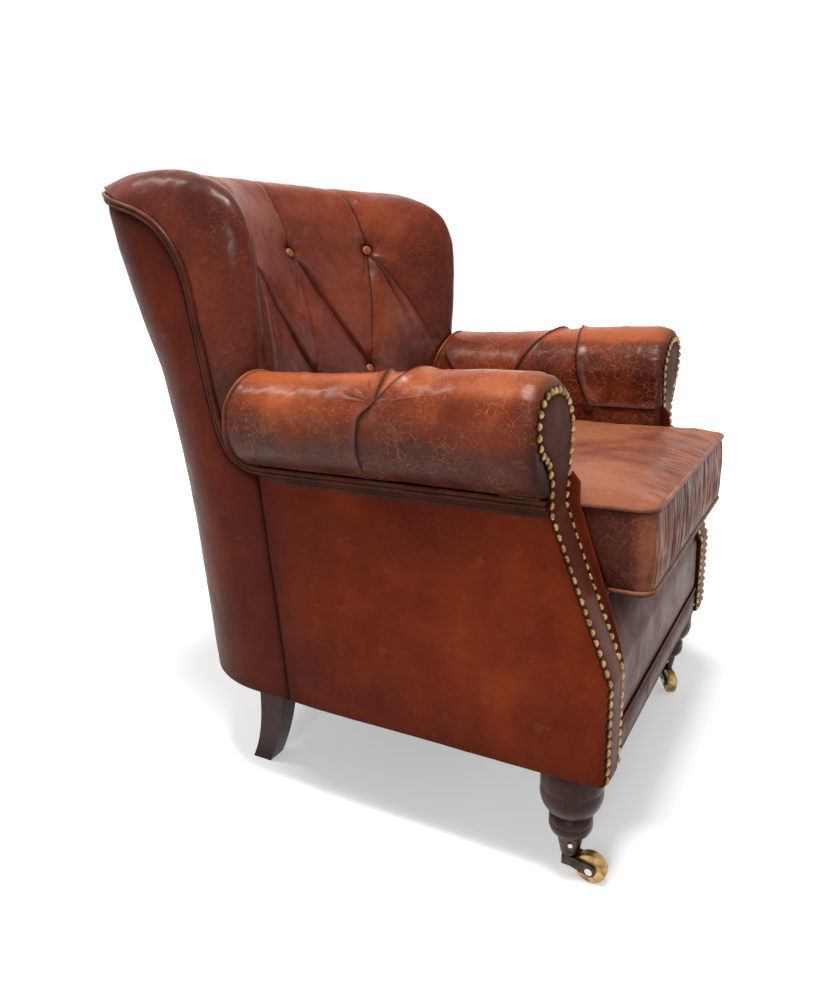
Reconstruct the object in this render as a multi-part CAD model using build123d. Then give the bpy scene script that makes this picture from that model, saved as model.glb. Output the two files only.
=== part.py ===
from build123d import *
import os
from math import asin, atan2, cos, degrees, hypot, sin, sqrt

# Leather armchair with a tufted tub back, rolled arms, a loose seat cushion and brass casters in front.
# Millimetres. X runs to the sitter's left, Y to the back, Z up, with the origin on the floor at the centre.

# Driving sizes of the whole chair
height = 850.0
base_half_width = 293.0
base_front_y = -338.0
base_bottom_z = 153.0
cushion_bottom_z = 358.0
arm_top_z = 611.5
back_pad_foot_y = 119.0
side_seam_bottom_y = 92.0
side_seam_top_y = 116.0
panel_thickness = 3.5
contact_gap = 0.3
overrun = 20.0

# Arms: a scroll in front view that drops to a flat inner face
arm_width = 81.0
arm_inner_x = base_half_width - arm_width
arm_top_out = 1.0
arm_top_x = base_half_width + arm_top_out
arm_bulge_out = 41.0
arm_bulge_x = base_half_width + arm_bulge_out
arm_bulge_drop = 58.5
arm_bulge_z = arm_top_z - arm_bulge_drop
arm_shoulder_drop = 66.5
arm_shoulder_z = arm_top_z - arm_shoulder_drop
arm_seam_drop = 127.5
arm_seam_z = arm_top_z - arm_seam_drop
arm_seam_inset = 2.0
arm_seam_x = base_half_width - arm_seam_inset
pad_tuck = 6.0
arm_pad_bottom_z = cushion_bottom_z - pad_tuck
arm_pad_thickness = 26.0
arm_cavity_drop = 36.5
arm_cavity_top_z = arm_top_z - arm_cavity_drop
arm_cavity_inset = 5.0
arm_cavity_outer_x = base_half_width - arm_cavity_inset
arm_rear_set = 19.0
arm_rear_y = back_pad_foot_y + arm_rear_set
arm_rear_drop = 91.5
arm_rear_lean_z = arm_top_z - arm_rear_drop
arm_rear_lean_share = 0.25
arc_mid_shares = (0.293, 0.707)

# Arm tufts
arm_tuft_y = -75.0
arm_tuft_out = 25.0
arm_tuft_x = base_half_width + arm_tuft_out
arm_tuft_drop = 19.5
arm_tuft_z = arm_top_z - arm_tuft_drop
arm_button_ys = (-158.0, 2.0)
arm_button_drop = 121.5
arm_button_z = arm_top_z - arm_button_drop
arm_pleat_width = 3.0
arm_pleat_depth = 4.0

# Arm facings: vertical foot, slope back, vertical head
facing_thickness = 12.0
facing_stand = 3.0
facing_foot_y = base_front_y - facing_stand
facing_head_setback = 68.0
facing_head_y = base_front_y + facing_head_setback
facing_kink_height = 123.0
facing_kink_z = base_bottom_z + facing_kink_height
facing_neck_drop = 150.5
facing_neck_z = arm_top_z - facing_neck_drop
facing_width = 62.0
facing_inner_x = base_half_width - facing_width
facing_outer_inset = 1.0
facing_outer_x = base_half_width - facing_outer_inset
facing_top_inset = 12.5
facing_top_z = arm_top_z - facing_top_inset
facing_top_shift = 8.0
facing_top_x = arm_top_x - facing_top_shift
facing_bulge_inset = 1.0
facing_bulge_x = arm_bulge_x - facing_bulge_inset
facing_bulge_drop = 45.5
facing_bulge_z = arm_top_z - facing_bulge_drop
facing_throat_out = 12.5
facing_throat_x = facing_outer_x + facing_throat_out
facing_throat_drop = 89.5
facing_throat_z = arm_top_z - facing_throat_drop
facing_waist_drop = 116.5
facing_waist_z = arm_top_z - facing_waist_drop
facing_shoulder_drop = 66.5
facing_shoulder_z = arm_top_z - facing_shoulder_drop
facing_shoulder_inset = 3.0
facing_shoulder_x = arm_inner_x + facing_shoulder_inset
facing_neck_inset = 17.0
facing_neck_x = arm_inner_x + facing_neck_inset
facing_hip_drop = 211.5
facing_hip_z = arm_top_z - facing_hip_drop

# Dome nails
nail_inset = 7.5
nail_pitch = 12.0
nail_head_radius = 5.3
nail_head_height = 3.2
nail_shank_radius = 0.9
nail_shank_length = 9.0
nail_foot_clearance = 6.0

# Seat cushion, in front of the inside back and between the arms, with ears that reach back to the facings
cushion_overhang = 30.0
cushion_front_y = base_front_y - cushion_overhang
cushion_gap = 4.0
cushion_rear_y = back_pad_foot_y - cushion_gap
cushion_half_width = arm_inner_x - cushion_gap
cushion_ear_gap = 7.0
cushion_nail_gap = 7.0
cushion_ear_half_width = facing_inner_x - cushion_ear_gap
cushion_edge_height = 102.0
cushion_edge_z = cushion_bottom_z + cushion_edge_height
cushion_crown = 16.0
cushion_crown_flat_share = 0.92
cushion_corner_radius = 16.0
cushion_piping_radius = 3.0
boxing_pleats = 22
boxing_pleat_radius = 2.2
boxing_pleat_span_share = 0.9
boxing_pleat_lean_shares = (0.0, 0.35, -0.2, 0.15, -0.4, 0.25)

# Front border and lower band
border_thickness = 26.0
border_top_gap = 2.0
border_top_z = cushion_bottom_z - border_top_gap
band_height = 44.0
band_top_z = base_bottom_z + band_height
band_stand = 2.0
border_side_gap = 0.5

# The back leans from its foot to the crest, and its heights are shares of that rise
back_foot_drop = 13.0
back_rear_z = cushion_bottom_z - back_foot_drop
back_rise = height - back_rear_z
back_lean = 129.8
back_rear_slope = back_lean / back_rise
back_rear_y = 205.5
back_pad_bottom_z = cushion_bottom_z - pad_tuck
back_break_lift = 5.0
back_break_z = cushion_edge_z + back_break_lift


def back_profile(ys, height_shares):
    """Points (y, z) on the back from their depths and their shares of its rise."""
    return tuple((y, back_rear_z + back_rise * share) for y, share in zip(ys, height_shares))


# Inside back, given as side profiles at the middle, at the wing ridge and at the outer edge:
# the top of the front, the front of the crest, the crest, its rear and the top of the rear
middle_ys = (282.0, 303.0, 341.0, 361.0, 371.0)
middle_height_shares = (0.9307, 0.9822, 1.0, 0.9842, 0.9485)
middle_profile = back_profile(middle_ys, middle_height_shares)
middle_front_top = middle_profile[0]
ridge_ys = (108.0, 128.0, 205.0, 290.0, 371.0)
ridge_height_shares = (0.7723, 0.901, 0.9663, 0.9762, 0.9525)
edge_foot_y = 170.0
edge_ys = (190.0, 208.0, 248.0, 310.0, 371.0)
edge_height_shares = (0.7129, 0.8218, 0.8792, 0.9149, 0.9446)
back_pad_out = 11.0
back_pad_half_width = base_half_width + back_pad_out
ridge_share = 0.87
pad_station_shares = (0.0, 0.12, 0.24, 0.36, 0.48, 0.6, 0.7, 0.79, 0.87, 0.91, 0.95, 0.98, 1.0)

# Back tufts: an upper and a lower row of buttons
button_top_xs = (-150.0, 0.0, 150.0)
button_low_xs = (-75.0, 75.0)
button_top_share = 0.7921
button_low_share = 0.4257
button_top_z = back_rear_z + back_rise * button_top_share
button_low_z = back_rear_z + back_rise * button_low_share
outer_pleat_foot_x = 225.0
button_radius = 8.0
button_height = 5.0
button_shank_radius = 2.0
button_shank_length = 9.0
tuft_depth = 15.0
tuft_mouth_radius = 24.0
pleat_radius = 7.0
pleat_stand = 1.0

# Outside back: plan sections at heights, each with its half width, corner radius and rear face
shell_kink_height = 132.0
shell_height_shares = (0.204, 0.4812, 0.6119, 0.7941, 1.0396)
shell_outs = (0.0, 0.0, 0.0, 6.0, 10.0, 12.0, 12.0)
shell_half_widths = tuple(base_half_width + out for out in shell_outs)
shell_corner_radii = (160.0, 150.0, 135.0, 120.0, 110.0, 95.0, 90.0)
shell_rear_ys = (306.0, 308.0, 314.0, 322.0, 340.0, 358.0, 371.0)
shell_heights = (
    base_bottom_z,
    base_bottom_z + shell_kink_height,
    *(back_rear_z + back_rise * share for share in shell_height_shares),
)
shell_front_y = 60.0

# Wing edge line on the side, from the arm seam up to the crest, as (y, z)
wing_foot_drop = 6.0
wing_turn_lift = 10.0
wing_arm_lift = 51.0
wing_turn_y = 156.0
wing_arm_y = 169.0
wing_line_foot = (side_seam_top_y, arm_seam_z - wing_foot_drop)
wing_line_turn = (wing_turn_y, arm_seam_z + wing_turn_lift)
wing_line_arm = (wing_arm_y, arm_seam_z + wing_arm_lift)
wing_ys = (184.0, 199.0, 226.0, 262.0, 371.0)
wing_height_shares = (0.6693, 0.7663, 0.8436, 0.8851, 0.9446)
wing_profile = back_profile(wing_ys, wing_height_shares)
wing_line_rise, wing_line_bend, wing_line_shoulder, wing_line_sweep, wing_line_rear = wing_profile

# Edge piping
piping_radius = 3.2
piping_bend_radii = (28.0, 120.0, 60.0, 60.0, 60.0, 60.0, 80.0)
piping_gap = 0.4

# Seat springing
spring_count = 4
spring_pitch_x = 108.0
spring_wire_radius = 1.9
spring_bend_radius = 13.0
spring_leg = 30.0
spring_end_inset = 9.0
spring_lift = 5.0
clip_length = 16.0
clip_width = 14.0
clip_height = 7.6
clip_headroom = 0.4
platform_thickness = 21.7
strap_count = 5
strap_width = 48.0
strap_pitch = 66.0
strap_thickness = 2.0
dust_cover_thickness = 1.5

# Timber frame, whose rails carry the clips right under the seat platform
rail_thickness = 22.0
rail_lift = 4.0
rail_bottom_z = base_bottom_z + rail_lift
platform_bottom_z = cushion_bottom_z - contact_gap - platform_thickness
rail_top_z = platform_bottom_z - clip_headroom - clip_height
front_rail_front_y = base_front_y + border_thickness
rail_relief = 0.5
front_post_inset = 8.0
front_post_width = 40.0
front_post_outer_x = base_half_width - front_post_inset
front_post_inner_x = front_post_outer_x - front_post_width
front_post_depth = 45.0
back_rail_front_y = 186.0
back_post_inset = 88.0
back_post_width = 40.0
back_post_outer_x = base_half_width - back_post_inset
back_post_inner_x = back_post_outer_x - back_post_width
back_post_depth = 35.0
back_post_top_share = 0.8317
back_post_top_z = back_rear_z + back_rise * back_post_top_share
crest_rail_height = 40.0
crest_rail_top_z = back_post_top_z + crest_rail_height
crest_rail_depth = 32.0
stay_rail_height = 55.0
stay_rail_depth = 26.0
wing_frame_inset = 31.0
wing_frame_inner_x = base_half_width - wing_frame_inset
wing_frame_thickness = 25.0
wing_frame_front_y = 150.0
wing_frame_width = 40.0
wing_frame_shoulder_y = 200.0
wing_frame_shoulder_share = 0.8772
wing_frame_shoulder_z = back_rear_z + back_rise * wing_frame_shoulder_share
wing_frame_rear_y = 345.0
arm_rail_inset = 7.0
arm_rail_width = 46.0
arm_rail_outer_x = base_half_width - arm_rail_inset
arm_rail_inner_x = arm_rail_outer_x - arm_rail_width
arm_rail_height = 35.0
corner_block_width = 58.0
corner_block_height = 60.0

# Turned front legs, as (radius, height) of the profile
front_leg_inset = 34.5
front_leg_x = base_half_width - front_leg_inset
front_leg_setback = 43.0
front_leg_y = base_front_y + front_leg_setback
bun_radius = 37.0
bun_z = 125.0
bun_top_radius = 33.0
leg_spigot_radius = 28.0
leg_spigot_drop = 0.5
bun_foot_radius = 27.0
bun_foot_z = 92.0
cove_radius = 22.5
cove_z = 88.0
ring_radius = 26.0
ring_z = 77.0
ring_foot_radius = 16.5
leg_tip_z = 41.0
leg_bolt_radius = 4.0
leg_bolt_length = 80.0
leg_bolt_in_leg = 35.0

# Sabre rear legs, from the top down: x, y, width, depth
rear_leg_heights = (rail_bottom_z, 105.0, 50.0, 0.0)
rear_leg_insets = (61.0, 62.0, 65.0, 68.0)
rear_leg_xs = tuple(base_half_width - inset for inset in rear_leg_insets)
rear_leg_ys = (158.0, 163.0, 176.0, 197.0)
rear_leg_widths = (36.0, 34.0, 31.0, 30.0)
rear_leg_depths = (44.0, 39.0, 34.0, 32.0)

# Cup casters
cup_top_z = 57.0
cup_bottom_z = 30.0
cup_top_radius = 16.5
cup_bottom_radius = 11.0
cup_wall = 2.0
cup_floor = 5.0
cup_fit = 0.1
cup_screw_z = 50.0
cup_screw_radius = 1.4
cup_screw_length = 8.0
cup_screw_head_radius = 2.8
cup_screw_head_height = 1.4
cup_screw_headings = (198.0, 18.0)
wheel_radius = 19.0
wheel_width = 14.0
wheel_edge = 2.5
wheel_side_gap = 0.6
caster_trail = 28.0
caster_headings = {"right": 267.0, "left": 209.0}
axle_radius = 3.0
running_clearance = 0.05
axle_head_radius = 4.6
axle_head_height = 1.6
fork_wall = 3.0
fork_boss_radius = 8.0
fork_neck_radius = 9.5
fork_top_gap = 0.4
fork_neck_front = 6.5
fork_bottom_z = 17.0
pivot_radius = 3.5
pivot_head_radius = 6.0
pivot_head_height = 2.5
pivot_head_gap = 0.2


def block(x_low, x_high, y_low, y_high, z_low, z_high):
    size = Box(x_high - x_low, y_high - y_low, z_high - z_low)
    return Pos((x_low + x_high) / 2, (y_low + y_high) / 2, (z_low + z_high) / 2) * size


def side_prism(face, x_low, x_high):
    """A face drawn in (y, z), drawn out from x_low to x_high."""
    return Pos(x_low, 0, 0) * extrude(Plane.YZ * face, x_high - x_low)


def front_prism(face, y_low, y_high):
    """A face drawn in (x, z), drawn out from y_low to y_high."""
    plane = Plane(origin=(0, y_high, 0), x_dir=(1, 0, 0), z_dir=(0, -1, 0))
    return extrude(plane * face, y_high - y_low)


def polygon(*points):
    return make_face(Polyline(*points, close=True))


def rounding(start, end, vertical_first):
    """An arc from start to end, nearly a quarter turn, bulging away from the centre."""
    slow, fast = arc_mid_shares
    along_x, along_z = (slow, fast) if vertical_first else (fast, slow)
    middle = (start[0] + (end[0] - start[0]) * along_x, start[1] + (end[1] - start[1]) * along_z)
    return ThreePointArc(start, middle, end)


def mirrored(shape):
    return mirror(shape, about=Plane.YZ)


def group(solids):
    return Compound(children=list(solids))


def save(name, shape):
    export_step(shape, f"parts/{name}.step")


# Arm facing

def facing_face_y(z):
    if z <= facing_kink_z:
        return facing_foot_y
    if z >= facing_neck_z:
        return facing_head_y
    share = (z - facing_kink_z) / (facing_neck_z - facing_kink_z)
    return facing_foot_y + share * (facing_head_y - facing_foot_y)


def facing_side_points(setback, z_low, z_high):
    """Side view of the facing's surface, moved back by setback."""
    return [
        (facing_face_y(z_low) + setback, z_low),
        (facing_foot_y + setback, facing_kink_z),
        (facing_head_y + setback, facing_neck_z),
        (facing_head_y + setback, z_high),
    ]


def facing_line(inset, foot_z):
    """The facing's edge in front view, moved inwards by inset, from its outer foot to its inner foot."""
    outer = facing_outer_x - inset
    inner = facing_inner_x + inset
    throat = (facing_throat_x - inset, facing_throat_z)
    bulge = (facing_bulge_x - inset, facing_bulge_z)
    top = (facing_top_x, facing_top_z - inset)
    shoulder = (facing_shoulder_x + inset, facing_shoulder_z)
    neck = (facing_neck_x + inset, facing_neck_z)
    edges = [
        Line((outer, foot_z), (outer, facing_waist_z)),
        Line((outer, facing_waist_z), throat),
        rounding(throat, bulge, False),
        rounding(bulge, top, True),
        rounding(top, shoulder, False),
        Line(shoulder, neck),
        Line(neck, (inner, facing_hip_z)),
        Line((inner, facing_hip_z), (inner, foot_z)),
    ]
    return edges


def facing():
    edges = facing_line(0, base_bottom_z)
    outer_foot = (facing_outer_x, base_bottom_z)
    inner_foot = (facing_inner_x, base_bottom_z)
    outline = make_face(Wire(edges + [Line(inner_foot, outer_foot)]))
    board = front_prism(outline, facing_foot_y - overrun, facing_head_y + facing_thickness + overrun)
    front = facing_side_points(0, base_bottom_z - overrun, facing_top_z + overrun)
    rear = facing_side_points(facing_thickness, base_bottom_z - overrun, facing_top_z + overrun)
    slab = side_prism(polygon(*front, *reversed(rear)), facing_shoulder_x - overrun, facing_bulge_x + overrun)
    return board & slab


def dome_arc(radius, rim_z, top_z):
    """The quarter section of a dome that is level at its top."""
    rise = top_z - rim_z
    sphere = (radius ** 2 + rise ** 2) / (2 * rise)
    half_turn = asin(radius / sphere) / 2
    middle = (sphere * sin(half_turn), top_z - sphere + sphere * cos(half_turn))
    return ThreePointArc((radius, rim_z), middle, (0, top_z))


def dome_nail():
    edges = [
        Line((0, 0), (nail_head_radius, 0)),
        dome_arc(nail_head_radius, 0, nail_head_height),
        Line((0, nail_head_height), (0, 0)),
    ]
    section = Plane.XZ * make_face(Wire(edges))
    shank = Cylinder(nail_shank_radius, nail_shank_length, align=(Align.CENTER, Align.CENTER, Align.MAX))
    return revolve(section, Axis.Z) + shank


def nail_positions():
    """Even steps along the bent face, measured on the surface."""
    line = Wire(facing_line(nail_inset, base_bottom_z + nail_foot_clearance))
    samples = int(line.length)
    points = []
    for index in range(samples + 1):
        spot = line.position_at(index / samples)
        points.append((spot.X, facing_face_y(spot.Y), spot.Y))
    travelled = [0.0]
    for before, after in zip(points, points[1:]):
        travelled.append(travelled[-1] + hypot(*(b - a for a, b in zip(before, after))))
    count = round(travelled[-1] / nail_pitch)
    wanted = [travelled[-1] * index / count for index in range(count + 1)]
    chosen = []
    cursor = 0
    for distance in wanted:
        while cursor < samples and travelled[cursor] < distance:
            cursor += 1
        chosen.append(points[cursor])
    return chosen


def facing_nails():
    nail = dome_nail()
    rise = facing_neck_z - facing_kink_z
    run = facing_head_y - facing_foot_y
    nails = []
    for x, y, z in nail_positions():
        sloped = facing_kink_z < z < facing_neck_z
        normal = (0, -rise, run) if sloped else (0, -1, 0)
        place = Plane(origin=(x, y, z), x_dir=(1, 0, 0), z_dir=normal)
        nails.append(place.location * nail)
    return nails


# Arm pad

def arm_outline_edges():
    seam = (arm_seam_x, arm_seam_z)
    bulge = (arm_bulge_x, arm_bulge_z)
    top = (arm_top_x, arm_top_z)
    shoulder = (arm_inner_x, arm_shoulder_z)
    return [rounding(seam, bulge, False), rounding(bulge, top, True), rounding(top, shoulder, False)]


def arm_section():
    """The roll and the inner face as one wrap, open below for the timber."""
    cavity_x = arm_inner_x + arm_pad_thickness
    walk = Polyline(
        (arm_inner_x, arm_shoulder_z),
        (arm_inner_x, arm_pad_bottom_z),
        (cavity_x, arm_pad_bottom_z),
        (cavity_x, arm_cavity_top_z),
        (arm_cavity_outer_x, arm_cavity_top_z),
        (arm_cavity_outer_x, arm_seam_z),
        (arm_seam_x, arm_seam_z),
    )
    return make_face(Wire(arm_outline_edges() + list(walk.edges())))


def arm_rear_y_at(z):
    return arm_rear_y - arm_rear_lean_share * (z - arm_rear_lean_z)


def arm_side_prism():
    """Side view of the arm between the facing's back and the leaning joint with the inside back."""
    low = arm_pad_bottom_z - overrun
    high = arm_top_z + overrun
    front = facing_side_points(facing_thickness, low, high)
    rear = [(arm_rear_y_at(high), high), (arm_rear_y_at(low), low)]
    return side_prism(polygon(*front, *rear), arm_inner_x - overrun, arm_bulge_x + overrun)


def arm_block(first_edge, outer_end):
    """The arm's whole outline without its cavity, from outer_end up over the roll and down inside."""
    low = arm_pad_bottom_z - overrun
    walk = Polyline((arm_inner_x, arm_shoulder_z), (arm_inner_x, low), (outer_end[0], low), outer_end)
    outline = make_face(Wire(arm_outline_edges()[first_edge:] + list(walk.edges())))
    return front_prism(outline, facing_foot_y, arm_rear_y_at(low)) & arm_side_prism()


def arm_pleat_ring():
    """A thin band that follows the roll's surface, drawn in front view."""
    seam_low = (arm_seam_x, arm_seam_z)
    outline = make_face(
        Wire(arm_outline_edges() + [Line((arm_inner_x, arm_shoulder_z), (arm_inner_x, arm_button_z)),
                                    Line((arm_inner_x, arm_button_z), (arm_seam_x, arm_button_z)),
                                    Line((arm_seam_x, arm_button_z), seam_low)])
    )
    core = offset(outline, -arm_pleat_depth)
    rim = offset(outline, arm_pleat_depth)
    return rim - core


def arm_pleat(end_y, from_x, to_x):
    """A pleat from the outer tuft over the roll, in an upright plane that leads to end_y inside."""
    ring = front_prism(arm_pleat_ring(), -arm_pleat_width / 2, arm_pleat_width / 2)
    keep = block(from_x, to_x, -overrun, overrun, arm_button_z, arm_top_z + overrun)
    ring = ring & keep
    turn = degrees(atan2(end_y - arm_tuft_y, arm_inner_x - arm_tuft_x))
    spin = turn - 180 if turn > 0 else turn + 180
    moved = Pos(-arm_tuft_x, 0, 0) * ring
    stretch = hypot(end_y - arm_tuft_y, arm_inner_x - arm_tuft_x) / (arm_tuft_x - arm_inner_x)
    stretched = scale(moved, by=(stretch, 1, 1))
    return Pos(arm_tuft_x, arm_tuft_y, 0) * Rot(0, 0, spin) * stretched


def arm_button_places():
    return [Plane(origin=(arm_inner_x + button_height, y, arm_button_z), z_dir=(-1, 0, 0)).location
            for y in arm_button_ys]


def arm_pad(channel):
    rear_y = arm_rear_y_at(arm_pad_bottom_z) + overrun
    pad = front_prism(arm_section(), facing_foot_y, rear_y) & arm_side_prism()
    for end_y in arm_button_ys:
        pad -= arm_pleat(end_y, arm_inner_x - overrun, arm_tuft_x)
    tuft = Plane(origin=(arm_tuft_x, arm_tuft_y, arm_tuft_z), z_dir=(1, 0, 1))
    pad -= tuft.location * Pos(0, 0, -arm_pleat_depth) * tuft_cone(arm_pleat_depth * 2)
    for place in arm_button_places():
        pad -= place * tuft_cone(button_height + overrun)
        pad -= place * button_shank()
    return pad - channel


# Buttons and tufts

def tuft_cone(depth):
    mouth = tuft_mouth_radius * depth / (tuft_depth + overrun) + button_radius
    cone = Cone(button_radius + contact_gap, mouth, depth)
    return Pos(0, 0, depth / 2) * cone


def button_shank():
    return Cylinder(button_shank_radius, button_shank_length, align=(Align.CENTER, Align.CENTER, Align.MAX))


def button():
    rim = button_height * arc_mid_shares[0]
    edges = [
        Line((0, 0), (button_radius, 0)),
        Line((button_radius, 0), (button_radius, rim)),
        dome_arc(button_radius, rim, button_height),
        Line((0, button_height), (0, 0)),
    ]
    return revolve(Plane.XZ * make_face(Wire(edges)), Axis.Z) + button_shank()


# Inside back

def blend(first, second, share):
    return tuple(a + (b - a) * share for a, b in zip(first, second))


def rear_line_y(z):
    return back_rear_y + back_rear_slope * (z - back_rear_z)


def pad_profile(share):
    """Side profile of the inside back at a share of its half width."""
    beyond = max(0.0, (share - ridge_share) / (1 - ridge_share))
    outwards = 1 - sqrt(1 - beyond ** 2)
    inwards = min(share / ridge_share, 1.0) ** 2
    ridge = back_profile(ridge_ys, ridge_height_shares)
    edge = back_profile(edge_ys, edge_height_shares)
    rows = zip(middle_profile, ridge, edge)
    points = [blend(blend(middle, wing, inwards), outer, outwards) for middle, wing, outer in rows]
    foot_y = back_pad_foot_y + (edge_foot_y - back_pad_foot_y) * outwards
    return points, foot_y


def pad_section(x, share):
    (front_top, front_arc, crest, rear_arc, rear_top), foot_y = pad_profile(share)
    lip_z = min(crest_rail_top_z, rear_top[1] - piping_radius)
    lip = (rear_line_y(crest_rail_top_z), lip_z)
    rear_foot = (rear_line_y(back_pad_bottom_z), back_pad_bottom_z)
    foot = (foot_y, back_pad_bottom_z)
    breaks = (foot_y, back_break_z)
    edges = [
        Line(foot, breaks),
        Line(breaks, front_top),
        ThreePointArc(front_top, front_arc, crest),
        ThreePointArc(crest, rear_arc, rear_top),
        Line(rear_top, lip),
        Line(lip, rear_foot),
        Line(rear_foot, foot),
    ]
    return Pos(x, 0, 0) * (Plane.YZ * make_face(Wire(edges)))


def back_pad_body():
    stations = [(-share, share) for share in reversed(pad_station_shares[1:])]
    stations += [(share, share) for share in pad_station_shares]
    sections = [pad_section(side * back_pad_half_width, share) for side, share in stations]
    return loft(sections, ruled=True)


def crown_point(x, z):
    """A point on the inside back's smooth front, before the tufts."""
    share = abs(x) / back_pad_half_width
    (front_top, *_), foot_y = pad_profile(min(share, ridge_share))
    slope = (front_top[0] - foot_y) / (front_top[1] - back_break_z)
    return Vector(x, foot_y + slope * (z - back_break_z), z)


def crown_normal():
    rise = middle_front_top[1] - back_break_z
    run = middle_front_top[0] - back_pad_foot_y
    return Vector(0, -rise, run).normalized()


def back_button_spots():
    return [(x, button_top_z) for x in button_top_xs] + [(x, button_low_z) for x in button_low_xs]


def back_button_places():
    normal = crown_normal()
    places = []
    for x, z in back_button_spots():
        seat = crown_point(x, z) - normal * tuft_depth
        places.append(Plane(origin=seat, x_dir=(1, 0, 0), z_dir=normal).location)
    return places


def pleat_cutter(start, end):
    """A round groove along the crown from one tuft to the next."""
    normal = crown_normal()
    first = crown_point(*start) + normal * pleat_stand
    last = crown_point(*end) + normal * pleat_stand
    span = last - first
    place = Plane(origin=first, z_dir=span)
    return place.location * Cylinder(
        pleat_radius, span.length, align=(Align.CENTER, Align.CENTER, Align.MIN)
    )


def back_pleats():
    ends = [((x, button_top_z), (x, middle_front_top[1])) for x in button_top_xs]
    for low_x in button_low_xs:
        near = [x for x in button_top_xs if abs(x - low_x) <= abs(low_x)]
        ends += [((x, button_top_z), (low_x, button_low_z)) for x in near]
        ends.append(((low_x, button_low_z), (low_x, back_break_z)))
    for side in (-1, 1):
        ends.append(((side * button_top_xs[-1], button_top_z), (side * outer_pleat_foot_x, button_low_z)))
    return [pleat_cutter(start, end) for start, end in ends]


# Outside back

def shell_envelope(inset):
    sections = []
    for z, half, radius, rear in zip(shell_heights, shell_half_widths, shell_corner_radii, shell_rear_ys):
        half, radius, rear = half - inset, radius - inset, rear - inset
        side_y = rear - radius
        diagonal = radius * arc_mid_shares[1]
        edges = [
            Line((-half, shell_front_y), (-half, side_y)),
            ThreePointArc(
                (-half, side_y), (-half + radius - diagonal, side_y + diagonal), (-half + radius, rear)
            ),
            Line((-half + radius, rear), (half - radius, rear)),
            ThreePointArc(
                (half - radius, rear), (half - radius + diagonal, side_y + diagonal), (half, side_y)
            ),
            Line((half, side_y), (half, shell_front_y)),
            Line((half, shell_front_y), (-half, shell_front_y)),
        ]
        sections.append(Pos(0, 0, z) * make_face(Wire(edges)))
    return loft(sections, ruled=True)


def behind_wing_line(setback):
    """Side view of all that lies behind and below the wing line, moved back by setback."""
    rows = [
        (side_seam_bottom_y, base_bottom_z - overrun),
        (wing_line_foot[0], wing_line_foot[1] - setback),
        (wing_line_turn[0] + setback, wing_line_turn[1] - setback),
        (wing_line_arm[0] + setback, wing_line_arm[1]),
        (wing_line_rise[0] + setback, wing_line_rise[1]),
        (wing_line_bend[0] + setback, wing_line_bend[1] - setback),
        (wing_line_shoulder[0] + setback, wing_line_shoulder[1] - setback),
        (wing_line_sweep[0], wing_line_sweep[1] - setback),
        (wing_line_rear[0] + overrun, wing_line_rear[1] - setback),
        (wing_line_rear[0] + overrun, base_bottom_z - overrun),
    ]
    reach = back_pad_half_width + overrun
    return side_prism(polygon(*rows), -reach, reach)


def piping_path(side):
    """The piping's centre line: under the arm, up the wing's edge and along the crest to the middle."""
    low_x = base_half_width - piping_radius + piping_gap
    high_x = back_pad_half_width
    rear_y = wing_line_rear[0] - piping_radius
    seam_z = arm_seam_z - piping_radius - piping_gap
    front_y = facing_head_y + facing_thickness + piping_gap
    return [
        (side * low_x, front_y, seam_z),
        (side * low_x, wing_line_foot[0], seam_z),
        (side * low_x, wing_line_arm[0], wing_line_arm[1]),
        (side * high_x, wing_line_rise[0], wing_line_rise[1]),
        (side * high_x, wing_line_bend[0], wing_line_bend[1]),
        (side * high_x, wing_line_shoulder[0], wing_line_shoulder[1]),
        (side * high_x, wing_line_sweep[0], wing_line_sweep[1]),
        (side * high_x, rear_y, wing_line_rear[1]),
        (0, rear_y, wing_line_rear[1]),
    ]


def piping_tube(side, radius):
    """The piping, with the seam line of its own surface turned away from the pad's edge."""
    points = piping_path(side)
    path = FilletPolyline(*points, radius=list(piping_bend_radii))
    start = Plane(origin=path @ 0, z_dir=path % 0)
    return sweep(start * Rot(0, 0, 90) * Circle(radius), path=path)


def outside_back(channels):
    shell = shell_envelope(0) - shell_envelope(panel_thickness)
    shell &= behind_wing_line(piping_radius + piping_gap)
    arm = arm_block(0, (arm_seam_x, arm_seam_z))
    for cut in (arm, mirrored(arm), *channels):
        shell -= cut
    return shell


def back_pad(timbers, channels):
    pad = back_pad_body() & shell_envelope(0)
    behind = behind_wing_line(piping_radius + piping_gap)
    pad -= behind - shell_envelope(panel_thickness + contact_gap)
    for place in back_button_places():
        pad -= place * tuft_cone(tuft_depth + overrun)
        pad -= place * button_shank()
    for groove in back_pleats():
        pad -= groove
    arm = arm_block(1, (arm_bulge_x, arm_bulge_z))
    for cut in (arm, mirrored(arm)):
        pad -= cut
    for timber in timbers:
        pad -= timber
    for channel in channels:
        pad -= channel
    return pad


# Outside arm panel

def outside_arm():
    top_z = arm_seam_z - 2 * piping_radius - 2 * piping_gap
    share = (top_z - facing_kink_z) / (facing_neck_z - facing_kink_z)
    top_y = facing_foot_y + share * (facing_head_y - facing_foot_y)
    outline = polygon(
        (facing_foot_y + facing_thickness, base_bottom_z),
        (facing_foot_y + facing_thickness, facing_kink_z),
        (top_y + facing_thickness, top_z),
        (side_seam_top_y, top_z),
        (side_seam_bottom_y, base_bottom_z),
    )
    return side_prism(outline, base_half_width - panel_thickness, base_half_width)


# Front border and lower band

def front_border():
    half = facing_inner_x - border_side_gap
    return block(-half, half, base_front_y, base_front_y + border_thickness, band_top_z, border_top_z)


def lower_band():
    half = facing_inner_x - border_side_gap
    front = base_front_y - band_stand
    return block(-half, half, front, base_front_y + border_thickness, base_bottom_z, band_top_z)


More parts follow.
